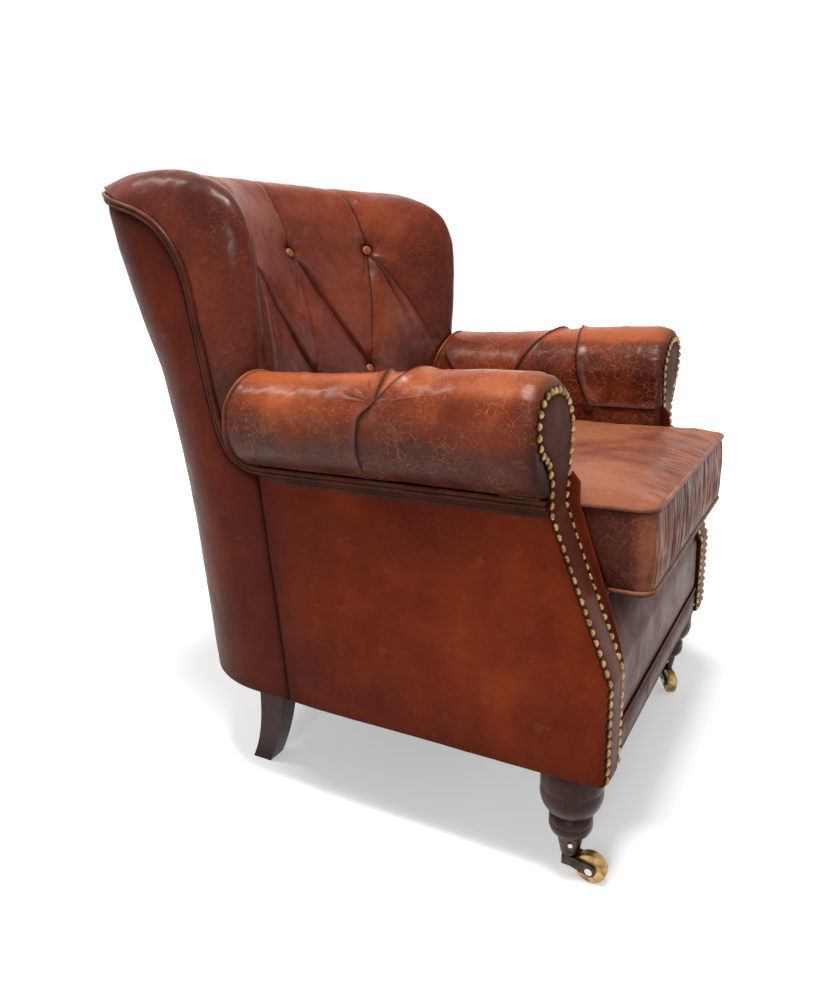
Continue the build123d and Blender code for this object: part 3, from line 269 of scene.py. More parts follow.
def grid_faces(nu, nv, closed_v=False, start=0, flip=False):
    """The four-cornered faces of a grid of nu by nv points that is numbered from start."""
    iu = np.arange(nu - 1)[:, None]
    iv = np.arange(nv if closed_v else nv - 1)[None, :]
    next_v = (iv + 1) % nv
    corners = [iu * nv + iv, (iu + 1) * nv + iv, (iu + 1) * nv + next_v, iu * nv + next_v]
    faces = np.stack(np.broadcast_arrays(*corners), -1).reshape(-1, 4) + start
    return faces[:, ::-1] if flip else faces


def grid_piece(name, grid, closed_v=False, fields=None, flip=False):
    faces = grid_faces(*grid.shape[:2], closed_v, flip=flip)
    return make_mesh(name, grid.reshape(-1, 3), faces, fields)


def tube_points(line, radius, sides):
    """Rings round a line. The radius may change along it."""
    line = np.asarray(line, float)
    tangents = np.gradient(line, axis=0)
    tangents /= np.linalg.norm(tangents, axis=1, keepdims=True)
    radii = np.broadcast_to(radius, (len(line),))
    angles = np.linspace(0, 2 * math.pi, sides, endpoint=False)
    up = (0, 0, 1.0) if abs(tangents[0][2]) < 0.9 else (1.0, 0, 0)
    side = np.cross(tangents[0], up)
    rings = []
    for point, tangent, r in zip(line, tangents, radii):
        side = side - tangent * side.dot(tangent)
        side /= np.linalg.norm(side)
        other = np.cross(tangent, side)
        rings.append(point + r * (np.cos(angles)[:, None] * side + np.sin(angles)[:, None] * other))
    return np.array(rings)


def join(name, pieces):
    """One object from several meshes, with their fields."""
    verts, faces, fields, base = [], [], {}, 0
    for piece in pieces:
        mesh = piece.data
        count = len(mesh.vertices)
        co = np.zeros(count * 3, np.float32)
        mesh.vertices.foreach_get("co", co)
        index = np.zeros(len(mesh.loops), np.int32)
        mesh.loops.foreach_get("vertex_index", index)
        verts.append(co.reshape(-1, 3))
        faces.append(index.reshape(-1, 4) + base)
        for attribute in mesh.attributes:
            if attribute.data_type == "FLOAT" and attribute.domain == "POINT":
                values = np.zeros(count, np.float32)
                attribute.data.foreach_get("value", values)
                fields.setdefault(attribute.name, []).append((base, values))
        base += count
        bpy.data.objects.remove(piece)
    filled = {}
    for field, parts in fields.items():
        values = np.zeros(base, np.float32)
        for at, part in parts:
            values[at:at + len(part)] = part
        filled[field] = values
    return make_mesh(name, np.concatenate(verts), np.concatenate(faces), filled)


def weld(piece):
    """Joins the points that lie on one another, as at a dome's tip."""
    shell = bmesh.new()
    shell.from_mesh(piece.data)
    bmesh.ops.remove_doubles(shell, verts=shell.verts, dist=0.00002)
    shell.to_mesh(piece.data)
    shell.free()


# Folds

fold_step = 0.006
far_off = 9.0


def fold(line, depth, soft, sharp, side=1, lip=0.12, shade=1.0):
    """A pleat along a line on a surface, soft on one side and sharp on the other.

    depth holds its depth at start, middle and end, lip the swell beside it and shade the strength of the
    painted shade on its floor.
    """
    line = even(line, max(6, int(length_of(line) / fold_step) + 2))
    return {"line": line, "depth": depth, "soft": soft, "sharp": sharp, "side": side, "lip": lip,
            "shade": shade}


def sink(points, normals, folds, reach=0.05):
    """How far each point lies under the folds, and the painted shade on the nearest one's floor."""
    shape = points.shape[:-1]
    flat, n = points.reshape(-1, 3), normals.reshape(-1, 3)
    depth, dark = np.zeros(len(flat)), np.zeros(len(flat))
    for f in folds:
        line = f["line"]
        low, high = line.min(0) - reach, line.max(0) + reach
        near = np.nonzero(((flat > low) & (flat < high)).all(1))[0]
        if not len(near):
            continue
        p = flat[near]
        best = np.full(len(near), far_off)
        share = np.zeros(len(near))
        away = np.zeros((len(near), 3))
        along = np.zeros((len(near), 3))
        for k in range(len(line) - 1):
            a, b = line[k], line[k + 1]
            run = b - a
            t = np.clip(((p - a) @ run) / (run @ run), 0, 1)
            gap = p - (a + t[:, None] * run)
            distance = np.linalg.norm(gap, axis=1)
            closer = distance < best
            best = np.where(closer, distance, best)
            share = np.where(closer, (k + t) / (len(line) - 1), share)
            away[closer] = gap[closer]
            along[closer] = run / np.linalg.norm(run)
        hand = np.einsum("ij,ij->i", np.cross(along, n[near]), away) * f["side"]
        width = np.where(hand > 0, f["soft"], f["sharp"])
        start, middle, end = f["depth"]
        first_half = start + (middle - start) * share * 2
        second_half = middle + (end - middle) * (share * 2 - 1)
        bottom = np.where(share < 0.5, first_half, second_half)
        ridge = np.exp(-((best - 1.3 * width) / (0.7 * width)) ** 2) * (hand > 0) * f["lip"]
        wanted = bottom * (np.exp(-best / width) - ridge)
        current = depth[near]
        raised = current + np.minimum(wanted, 0) * (current < 1e-4)
        depth[near] = np.where(wanted > current, wanted, raised)
        # Painted shade: the floor of the nearest fold is darkened in the colour, scaled by its shade.
        close = np.exp(-(best / 0.0022) ** 1.5) * np.clip(bottom / 0.0025, 0, 1) * f["shade"]
        dark[near] = np.maximum(dark[near], close)
    return depth.reshape(shape), dark.reshape(shape)


def dimple(distance, depth, width, floor=0.0):
    """How far points at a distance from a button sink."""
    return depth * np.exp(-np.maximum(distance - floor, 0) / width)


def button_seat(grid, spot, depth, width, shade):
    """How far a button draws the hide in, and a ring of painted shade round its head."""
    distance = np.linalg.norm(grid - spot, axis=-1)
    ring = np.exp(-((distance - 0.0095) / 0.0028) ** 2)
    return dimple(distance, depth, width, 0.006), ring * shade


# Camera

camera_place = (-1.0664, -0.5449, 0.7210)
camera_yaw = math.radians(29.19)
camera_pitch = math.radians(-16.33)
camera_roll = math.radians(-1.55)
camera_lens = 29.28


def make_camera():
    data = bpy.data.cameras.new("camera")
    data.lens = camera_lens
    data.sensor_width = 36
    data.clip_start = 0.05
    data.clip_end = 60
    camera = bpy.data.objects.new("camera", data)
    bpy.context.scene.collection.objects.link(camera)
    level = math.cos(camera_pitch)
    ahead = Vector((math.cos(camera_yaw) * level, math.sin(camera_yaw) * level, math.sin(camera_pitch)))
    right = ahead.cross(Vector((0, 0, 1))).normalized()
    up = right.cross(ahead)
    tilted_right = right * math.cos(camera_roll) + up * math.sin(camera_roll)
    tilted_up = up * math.cos(camera_roll) - right * math.sin(camera_roll)
    turn = Matrix((tilted_right, tilted_up, -ahead)).transposed().to_4x4()
    camera.matrix_world = Matrix.Translation(camera_place) @ turn
    bpy.context.scene.camera = camera


# Materials

class Finish:
    """A material's node tree with short ways to add to it."""

    def __init__(self, name):
        self.material = bpy.data.materials.new(name)
        self.material.use_nodes = True
        self.tree = self.material.node_tree
        self.shader = next(n for n in self.tree.nodes if n.type == "BSDF_PRINCIPLED")

    def add(self, kind, props=None, **inputs):
        node = self.tree.nodes.new(kind)
        for key, value in (props or {}).items():
            setattr(node, key, value)
        for key, value in inputs.items():
            self.put(node, key, value)
        return node

    def put(self, node, key, value):
        numbered = key[0] == "i" and key[1:].isdigit()
        socket = node.inputs[int(key[1:]) if numbered else key.replace("_", " ")]
        if isinstance(value, bpy.types.NodeSocket):
            self.tree.links.new(value, socket)
        elif isinstance(value, (tuple, list)) and len(value) == 3 and len(socket.default_value) == 4:
            socket.default_value = (*value, 1)
        else:
            socket.default_value = value

    def surface(self, **inputs):
        """Sets the shader's own inputs."""
        for key, value in inputs.items():
            self.put(self.shader, key, value)

    def place(self):
        return self.add("ShaderNodeTexCoord").outputs["Object"]

    def noise(self, at, scale, detail=4.0, rough=0.55, distort=0.0):
        return self.add("ShaderNodeTexNoise", Vector=at, Scale=scale, Detail=detail, Roughness=rough,
                        Distortion=distort).outputs[0]

    def ramp(self, value, *stops):
        node = self.add("ShaderNodeValToRGB", i0=value)
        while len(node.color_ramp.elements) < len(stops):
            node.color_ramp.elements.new(0.5)
        for element, (at, colour) in zip(node.color_ramp.elements, stops):
            element.position = at
            element.color = (*colour, 1) if isinstance(colour, tuple) else (colour, colour, colour, 1)
        return node.outputs[0]

    def math(self, operation, a, b, clamp=False):
        props = {"operation": operation, "use_clamp": clamp}
        return self.add("ShaderNodeMath", props, i0=a, i1=b).outputs[0]

    def times(self, a, b):
        return self.math("MULTIPLY", a, b)

    def plus(self, a, b, clamp=False):
        return self.math("ADD", a, b, clamp)

    def mix(self, share, a, b):
        return self.add("ShaderNodeMix", {"data_type": "RGBA"}, i0=share, i6=a, i7=b).outputs[2]

    def field(self, name):
        return self.add("ShaderNodeAttribute", {"attribute_name": name}).outputs["Fac"]

    def vector(self, operation, **inputs):
        return self.add("ShaderNodeVectorMath", {"operation": operation}, **inputs).outputs[0]

    def shift(self, at, amount, scale):
        """Coordinates pushed about by noise, so that lines drawn in them wander."""
        wobble = self.add("ShaderNodeTexNoise", Vector=at, Scale=scale, Detail=2.0).outputs[1]
        centred = self.vector("SUBTRACT", i0=wobble, i1=(0.5, 0.5, 0.5))
        return self.vector("ADD", i0=at, i1=self.vector("SCALE", i0=centred, Scale=amount))

    def stretch(self, at, scale, turn=(0, 0, 0)):
        return self.add("ShaderNodeMapping", Vector=at, Scale=scale, Rotation=turn).outputs[0]

    def bump(self, height, strength, distance, below=None):
        node = self.add("ShaderNodeBump", Height=height, Strength=strength, Distance=distance)
        if below is not None:
            self.put(node, "Normal", below)
        return node.outputs[0]


def leather(name, dark, middle, light, crack, rough, gloss, mottle, scratch=0.5, crack_scale=1.0,
            wrinkle=0.4):
    """Waxed hide: cloudy pull-up colour, pale hairline crackle in patches, fine grain and a soft gloss."""
    f = Finish(name)
    at = f.place()
    cloud = f.noise(at, mottle, 5.0, 0.6, 0.5)
    speck = f.noise(at, mottle * 5, 6.0, 0.65, 0.2)
    tone = f.plus(f.times(cloud, 0.72), f.times(speck, 0.28))
    # A field per point lifts or lowers the tone: random tone, with painted light and painted shade.
    tone = f.plus(tone, f.times(f.field("warm"), 0.22))
    colour = f.ramp(tone, (0.32, dark), (0.5, middle), (0.68, light))
    # Three nets of cracks: their scale, line width, threshold and scale of the patches, and strength
    nets = ((58, 0.018, 0.47, 9.0, 0.9), (115, 0.030, 0.45, 13.0, 1.0), (250, 0.05, 0.47, 17.0, 0.8))
    lines = 0.0
    for scale, width, low, spread, amount in nets:
        wander = f.shift(at, 1.5 / scale, scale * 0.45)
        cells = f.add("ShaderNodeTexVoronoi", {"feature": "DISTANCE_TO_EDGE"}, Vector=wander,
                      Scale=scale * crack_scale)
        line = f.ramp(cells.outputs[0], (0.0, amount), (width, 0.0))
        broken = f.ramp(f.noise(wander, scale * 0.9, 3.0), (0.38, 0.0), (0.50, 1.0))
        patch = f.ramp(f.noise(at, spread, 4.0, 0.6, 0.8), (low, 0.0), (low + 0.14, 1.0))
        line = f.times(f.times(line, broken), patch)
        lines = f.plus(line, lines, True)
    pale = (light[0] * 1.25 + 0.09, light[1] * 1.7 + 0.055, light[2] * 2.0 + 0.036)
    colour = f.mix(f.times(lines, crack), colour, pale)
    streaks = f.noise(f.stretch(f.shift(at, 0.03, 14.0), (60, 6, 16), (0.3, 0.9, 0.5)), 5.0, 2.0, 0.4)
    streak = f.ramp(streaks, (0.68, 0.0), (0.74, 1.0))
    colour = f.mix(f.times(streak, scratch * 0.3), colour, pale)
    # A field per point paints paler hide: rubbed wear, and painted highlights on crests.
    wear_and_sheen_share = f.times(f.field("rub"), f.ramp(f.noise(at, 60.0, 4.0), (0.3, 0.3), (0.7, 1.0)))
    colour = f.mix(wear_and_sheen_share, colour, pale)
    # A field per point mixes in a deep colour: mostly painted shade in creases, recesses and under things,
    # and dark seams.
    deep = (dark[0] * 0.12, dark[1] * 0.10, dark[2] * 0.10)
    colour = f.mix(f.field("dark"), colour, deep)
    dull = f.plus(f.times(f.noise(at, 34.0, 5.0), 0.30), rough - 0.15)
    dull = f.plus(dull, f.times(f.field("dark"), 0.45))
    dull = f.plus(dull, f.times(lines, 0.12), True)
    grain = f.add("ShaderNodeTexVoronoi", {"feature": "SMOOTH_F1"}, Vector=at, Scale=700.0).outputs[0]
    normal = f.bump(grain, 0.10, 0.0004)
    normal = f.bump(f.noise(at, 150.0, 5.0, 0.6, 0.6), 0.30 * wrinkle + 0.05, 0.0010, normal)
    normal = f.bump(f.noise(f.shift(at, 0.035, 14.0), 30.0, 3.0, 0.5), wrinkle * 0.7, 0.003, normal)
    normal = f.bump(lines, -0.30 * crack, 0.0006, normal)
    f.surface(Base_Color=colour, Roughness=dull, Specular_IOR_Level=gloss, Normal=normal)
    return f.material


def brass(name, bright, dim, rim_field=None, rough=0.32):
    """Handled metal, cloudy with wear, and dark where rim_field is 1."""
    f = Finish(name)
    at = f.place()
    tone = f.ramp(f.noise(at, 90.0, 5.0, 0.6), (0.35, dim), (0.6, bright))
    if rim_field:
        tone = f.mix(f.field(rim_field), tone, (0.035, 0.018, 0.008))
    worn = f.plus(f.times(f.noise(at, 240.0, 3.0), 0.3), rough - 0.12)
    pitted = f.bump(f.noise(at, 420.0, 4.0), 0.12, 0.0004)
    f.surface(Base_Color=tone, Metallic=1.0, Roughness=worn, Normal=pitted)
    return f.material


def wood(name, dark, light, rough, gloss, grain=(70, 70, 5)):
    """Timber with streaks and pores that run along the axis where grain is smallest."""
    f = Finish(name)
    at = f.place()
    along = f.stretch(f.shift(at, 0.02, 5.0), grain)
    rings = f.noise(along, 3.0, 6.0, 0.65, 1.4)
    pores = f.noise(f.stretch(at, tuple(g * 5 for g in grain)), 4.0, 3.0)
    colour = f.ramp(rings, (0.3, dark), (0.7, light))
    colour = f.mix(f.ramp(pores, (0.6, 0.0), (0.75, 0.5)), colour, tuple(c * 0.4 for c in dark))
    f.surface(Base_Color=colour, Roughness=f.plus(f.times(rings, 0.2), rough - 0.1),
              Specular_IOR_Level=gloss, Normal=f.bump(pores, 0.15, 0.0005))
    return f.material


def steel(name, tone, rough):
    f = Finish(name)
    at = f.place()
    brushed = f.noise(f.stretch(at, (30, 400, 400)), 3.0, 3.0)
    colour = f.ramp(brushed, (0.3, tuple(c * 0.7 for c in tone)), (0.7, tone))
    f.surface(Base_Color=colour, Metallic=1.0, Roughness=f.plus(f.times(brushed, 0.2), rough - 0.1))
    return f.material


def woven(name, tone, pitch):
    """Plain cloth: two crossed sets of threads."""
    f = Finish(name)
    at = f.place()
    warp, weft = (f.add("ShaderNodeTexWave", {"bands_direction": axis}, Vector=at, Scale=pitch,
                        Distortion=0.4).outputs[1] for axis in "XY")
    threads = f.times(warp, weft)
    dirt = f.noise(at, 12.0, 4.0)
    colour = f.mix(f.times(threads, 0.6), tuple(c * 0.5 for c in tone), tone)
    colour = f.mix(f.times(dirt, 0.3), colour, tuple(c * 0.6 for c in tone))
    f.surface(Base_Color=colour, Roughness=0.85, Normal=f.bump(threads, 0.4, 0.0006))
    return f.material


def give(piece, material):
    piece.data.materials.clear()
    piece.data.materials.append(material)


def dress(piece, body, slot, material, *nodes):
    """Sets a new piece's finish, the body it rides on and the nodes that it stands for."""
    give(piece, material)
    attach(piece, body)
    if nodes:
        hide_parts(*nodes)


def both_sides(name, grid, fields, slot, finish, *nodes, flip_left=True, welded=False):
    """Dressed pieces for the left and, mirrored, the right side. {} in a name stands for the side."""
    pieces = []
    for sign, side in ((1, "left"), (-1, "right")):
        piece = grid_piece(name.format(side), grid * (sign, 1, 1), fields=fields,
                           flip=(sign > 0) == flip_left)
        if welded:
            weld(piece)
        dress(piece, "chair", slot, finishes[finish], *(node.format(side) for node in nodes))
        pieces.append(piece)
    return pieces


# Each hide's dark, middle and light colour, its share of cracks, roughness and gloss, the scale of
# its clouds, and what departs from the usual
hides = {
    "back": ((0.045, 0.007, 0.003), (0.105, 0.015, 0.005), (0.190, 0.038, 0.013), 0.30, 0.30, 0.14, 5.0, {}),
    "arm": ((0.060, 0.009, 0.004), (0.145, 0.023, 0.006), (0.300, 0.070, 0.020), 0.62, 0.28, 0.16, 7.0, {}),
    "panel": ((0.065, 0.008, 0.003), (0.120, 0.015, 0.003), (0.200, 0.030, 0.006), 0.12, 0.42, 0.05, 4.5,
              {"scratch": 0.35, "wrinkle": 0.25}),
    "shell": ((0.045, 0.006, 0.003), (0.080, 0.011, 0.004), (0.130, 0.022, 0.007), 0.10, 0.38, 0.05, 3.5,
              {"wrinkle": 0.25}),
    "cushion": ((0.060, 0.011, 0.006), (0.150, 0.036, 0.017), (0.270, 0.090, 0.045), 0.42, 0.34, 0.10, 6.0,
                {}),
    "facing": ((0.040, 0.010, 0.007), (0.085, 0.020, 0.011), (0.130, 0.034, 0.018), 0.06, 0.42, 0.06, 9.0,
               {}),
    "border": ((0.030, 0.007, 0.004), (0.070, 0.015, 0.007), (0.120, 0.034, 0.017), 0.25, 0.34, 0.05, 5.0,
               {}),
    "welt": ((0.030, 0.006, 0.003), (0.060, 0.010, 0.004), (0.110, 0.022, 0.008), 0.3, 0.36, 0.10, 22.0,
             {"crack_scale": 2.0}),
    "piping": ((0.060, 0.012, 0.006), (0.120, 0.026, 0.010), (0.230, 0.066, 0.026), 0.5, 0.36, 0.10, 22.0,
               {"crack_scale": 2.0}),
    "button": ((0.110, 0.020, 0.007), (0.230, 0.046, 0.013), (0.360, 0.090, 0.028), 0.4, 0.28, 0.16, 30.0,
               {"crack_scale": 2.5}),
}
finishes = {
    **{key: leather(f"{key}_hide", *values, **extra) for key, (*values, extra) in hides.items()},
    "nail": brass("nail_brass", (0.42, 0.26, 0.10), (0.16, 0.088, 0.032), "rim"),
    "wheel": brass("wheel_brass", (0.55, 0.36, 0.14), (0.20, 0.12, 0.05), rough=0.4),
    "bronze": brass("caster_bronze", (0.075, 0.052, 0.038), (0.030, 0.022, 0.018), rough=0.36),
    "leg": wood("leg_timber", (0.010, 0.0035, 0.003), (0.045, 0.011, 0.009), 0.30, 0.16),
    "timber": wood("frame_timber", (0.36, 0.22, 0.11), (0.58, 0.40, 0.22), 0.6, 0.2, (40, 5, 40)),
    "steel": steel("steel", (0.60, 0.60, 0.61), 0.36),
    "webbing": woven("webbing", (0.33, 0.28, 0.22), 300.0),
    "lining": woven("lining", (0.030, 0.030, 0.032), 420.0),
}


# Inside back

def pad_section(share):
    """The smooth side profile at a share of the half width, as even points (y, z)."""
    beyond = max(0.0, (share - ridge_share) / (1 - ridge_share))
    outwards = 1 - math.sqrt(max(0.0, 1 - beyond ** 2))
    inwards = min(share / ridge_share, 1.0) ** 2
    middle, ridge, edge = (np.array(p) for p in (pad_middle, pad_ridge, pad_edge))
    points = middle + (ridge - middle) * inwards
    points = points + (edge - points) * outwards
    corner_x, corner_y, corner_radius = pad_corner
    past = max(0.0, share * pad_half_width - corner_x)
    rear = corner_y + math.sqrt(max(0.0, corner_radius ** 2 - past ** 2)) - 0.0005
    points[-1, 0] = min(points[-1, 0], rear)
    points[-2, 0] = min(points[-2, 0], points[-3, 0] + 0.72 * (points[-1, 0] - points[-3, 0]))
    return even(hermite(points), pad_rows)


def shell_half(z):
    """Half width inside the outside panels at a height."""
    half = np.interp(z, shell_rows[:, 0], shell_rows[:, 1])
    return half - 0.001 - 0.004 * smoothstep(0.54, 0.48, z)


def pad_base():
    """The pad's smooth surface before its tufts."""
    ridge_turn = 0.30
    columns = []
    for u in np.linspace(-1, 1, pad_columns):
        reach = abs(u)
        if reach <= 1 - ridge_turn:
            share = reach / (1 - ridge_turn) * ridge_share
        else:
            turn = (reach - (1 - ridge_turn)) / ridge_turn * math.pi / 2
            share = ridge_share + (1 - ridge_share) * math.sin(turn)
        section = pad_section(share)
        x = math.copysign(share * pad_half_width, u)
        columns.append(np.column_stack([np.full(pad_rows, x), section]))
    grid = np.array(columns)
    grid[..., 0] *= shell_half(grid[..., 2]) / pad_half_width
    eased = smooth_rows(grid, 9.0)
    from_left = np.arange(pad_columns)
    share = smoothstep(0, 26, np.minimum(from_left, from_left[::-1]))[:, None, None]
    return grid + (eased - grid) * share


pad_grid = pad_base()
pad_normals = grid_normals(pad_grid)


def pad_column(x):
    """The number of the pad's column nearest to x."""
    return int(np.argmin(np.abs(pad_grid[:, pad_rows // 2, 0] - x)))


def pad_spot(x, z):
    """The point of the pad's smooth front at (x, z)."""
    front = pad_grid[pad_column(x)][: int(pad_rows * 0.8)]
    rising = front[: int(np.argmax(front[:, 2])) + 1]
    return np.array([x, np.interp(z, rising[:, 2], rising[:, 1]), z])


def pad_line(*spots):
    """A line on the pad's front through spots (x, z)."""
    return np.array([pad_spot(x, z) for x, z in even(curved(spots), 24)])


def pad_over_crest(x, z, lean):
    """A line from a button up and over the crest, leaning sideways on the way."""
    steps = 40
    start = int(np.argmin(np.linalg.norm(pad_grid[pad_column(x)] - pad_spot(x, z), axis=1)))
    rows = np.linspace(start, pad_rows - 12, steps).astype(int)
    drift = np.linspace(0, 1, steps) ** 1.3 * lean
    return np.array([pad_grid[pad_column(x + d), row] for d, row in zip(drift, rows)])


def back_folds():
    """The pleats over the crest, between the buttons and out along the wings, with their creases."""
    folds = []
    upper, lower = back_buttons[:3], back_buttons[3:]
    for x, z in upper:
        folds.append(fold(pad_over_crest(x, z, -0.012), (0.011, 0.005, 0.002), 0.014, 0.004))
    for bx, bz in lower:
        for tx, tz in upper:
            if abs(tx - bx) < 0.1:
                middle = ((tx + bx) / 2 + (tx - bx) * 0.10, (tz + bz) / 2)
                line = pad_line((tx, tz), middle, (bx, bz))
                hand = 1 if tx < bx else -1
                folds.append(fold(line, (0.012, 0.007, 0.012), 0.015, 0.0035, hand))
        for lean in (-0.010, 0.006, 0.020):
            line = pad_line((bx, bz), (bx + lean, bz - 0.07))
            folds.append(fold(line, (0.006, 0.002, 0.0), 0.007, 0.003, shade=0.4))
    for side in (-1, 1):
        top = upper[1 + side]
        line = pad_line(top, (side * 0.187, 0.672), (side * 0.222, 0.590))
        folds.append(fold(line, (0.012, 0.006, 0.002), 0.014, 0.0035, -side))
        line = pad_line(top, (side * 0.170, 0.668), (side * 0.190, 0.600))
        folds.append(fold(line, (0.007, 0.002, 0.0), 0.007, 0.003))
    for x, z in upper:
        for lean in (-0.012, 0.004, 0.017, -0.028):
            reach = 0.10 + 0.02 * math.sin(40 * (x + lean))
            line = pad_line((x, z), (x + lean, z - reach * 0.5), (x + lean * 2.0, z - reach))
            folds.append(fold(line, (0.006, 0.0017, 0.0), 0.005, 0.002, shade=0.35))
    return folds


def make_back():
    depth, dark = sink(pad_grid, pad_normals, back_folds())
    buttons = []
    for x, z in back_buttons:
        spot = pad_spot(x, z)
        pull, ring = button_seat(pad_grid, spot, back_tuft_depth, 0.017, 0.85)
        depth = np.maximum(depth, pull)
        dark = np.maximum(dark, ring)
        nearest = np.argmin(np.linalg.norm(pad_grid - spot, axis=2))
        normal = pad_normals[np.unravel_index(nearest, pad_grid.shape[:2])]
        buttons.append((spot - normal * (back_tuft_depth + 0.0005), normal))
    z = pad_grid[..., 2]
    swell = waves(pad_grid, 1, (0.0012, 26), (0.0005, 75))
    above_seat = smoothstep(0.44, 0.50, z)
    grid = pad_grid - pad_normals * ((depth - swell) * above_seat)[..., None]
    rub = 0.10 * smoothstep(0.55, 1.0, value_noise(pad_grid, 40, 5))
    wing = smoothstep(0.17, 0.25, np.abs(pad_grid[..., 0]))
    # Random tone, painted light on the crest, and painted shade on the wings and the lower back.
    warm = 0.5 * value_noise(pad_grid, 8, 15) + 0.35 * smoothstep(0.68, 0.82, z) - 0.2 * wing
    warm = warm - 0.4 * smoothstep(0.66, 0.50, z)
    # The dark field holds painted shade on the fold floors and round the buttons.
    fields = {"dark": np.clip(dark * above_seat, 0, 1), "rub": rub, "warm": np.clip(warm, -1, 1)}
    inward = np.ones((pad_columns, 1, 3)) * (1, 1, 0)
    inward[..., 0] = np.sign(grid[:, -1:, 0])
    tucks = ((0.0015, 0.005), (0.004, 0.010), (0.009, 0.014))
    hem = [grid[:, -1:] - inward * deep - np.array([0, 0, drop]) for deep, drop in tucks]
    grid = np.concatenate([grid] + hem, axis=1)
    for key, values in fields.items():
        fields[key] = np.concatenate([values] + [values[:, -1:]] * len(tucks), axis=1)
    back = grid_piece("tufted_back", grid, fields=fields)
    dress(back, "chair", "leather_tufted", finishes["back"], "inside_back")
    make_buttons("back", buttons)


def dome(name, profile, spot, normal, sides, fields):
    """A turned shape from its profile of (radius, height), on a spot and along a normal."""
    turn = np.array(Vector(normal).to_track_quat("Z", "Y").to_matrix())
    angles = np.linspace(0, 2 * math.pi, sides, endpoint=False)
    circle = np.stack([np.cos(angles), np.sin(angles), np.ones(sides)], 1)
    rings = np.array([(circle * (r, r, h)) @ turn.T + spot for r, h in profile])
    fields = {key: np.repeat(values[:, None], sides, 1) for key, values in fields.items()}
    return grid_piece(name, rings, closed_v=True, fields=fields)


button_profile = even(hermite([
    (0.0, 0.0068), (0.0042, 0.0062), (0.0073, 0.0042), (0.0086, 0.0018), (0.0080, 0.0), (0.005, -0.001),
]), 16)


def make_buttons(place, seats):
    """Covered buttons on their seats (spot, normal): shallow domes with a rolled rim."""
    radius = button_profile[:, 0]
    # Painted shade on the rim's underside against the hide, and a paler rim crest: rubbed wear and painted
    # highlight.
    fields = {"dark": np.clip((radius - 0.0076) / 0.001, 0, 1) * 0.6,
              "rub": np.clip(1 - np.abs(radius - 0.0060) / 0.002, 0, 1) * 0.5}
    parts = [dome("button", button_profile, spot, normal, 32, fields) for spot, normal in seats]
    buttons = join(f"{place}_covered_buttons", parts)
    weld(buttons)
    dress(buttons, "chair", "leather_tufted", finishes["button"], f"{place}_buttons")


# Arms, drawn on the sitter's left and mirrored for the other side

def arm_section():
    """The arm in (x, z), in five stretches: seam, bulge, top, shoulder, tuft line, foot."""
    tuft_line = (arm_inner_x, arm_buttons[0][1])
    runs = [
        rounding(arm_seam, arm_bulge, False), rounding(arm_bulge, arm_top, True),
        rounding(arm_top, arm_shoulder, False), np.array([arm_shoulder, tuft_line]),
        np.array([tuft_line, (arm_inner_x, arm_foot_z)]),
    ]
    return [even(run, 60) for run in runs]


arm_runs = arm_section()


def arm_at(station):
    """The section's point at a station from 0, the outer seam, to 5, the inner foot."""
    index = min(int(station), len(arm_runs) - 1)
    run = arm_runs[index]
    where = (station - index) * (len(run) - 1)
    return np.array([np.interp(where, np.arange(len(run)), run[:, k]) for k in (0, 1)])


def facing_y(z):
    """Where the front stands at a height: upright at foot and head, sloping between them."""
    slope = facing_run / facing_rise
    return np.clip(facing_foot_y + (z - facing_kink_z) * slope, facing_foot_y, facing_head_y)


def arm_joint_y(x, z):
    """Where the arm ends against the inside back."""
    plane = arm_rear_y - arm_rear_lean * (z - arm_rear_z)
    return min(plane, pad_spot(min(x, 0.285), z)[1] + 0.002)


def arm_drop(points):
    """The arm's top falls a little towards the back."""
    share = smoothstep(-0.22, 0.04, points[..., 1]) * np.clip((points[..., 2] - 0.49) / 0.12, 0, 1)
    lowered = points.copy()
    lowered[..., 2] -= arm_rear_drop * share
    return lowered


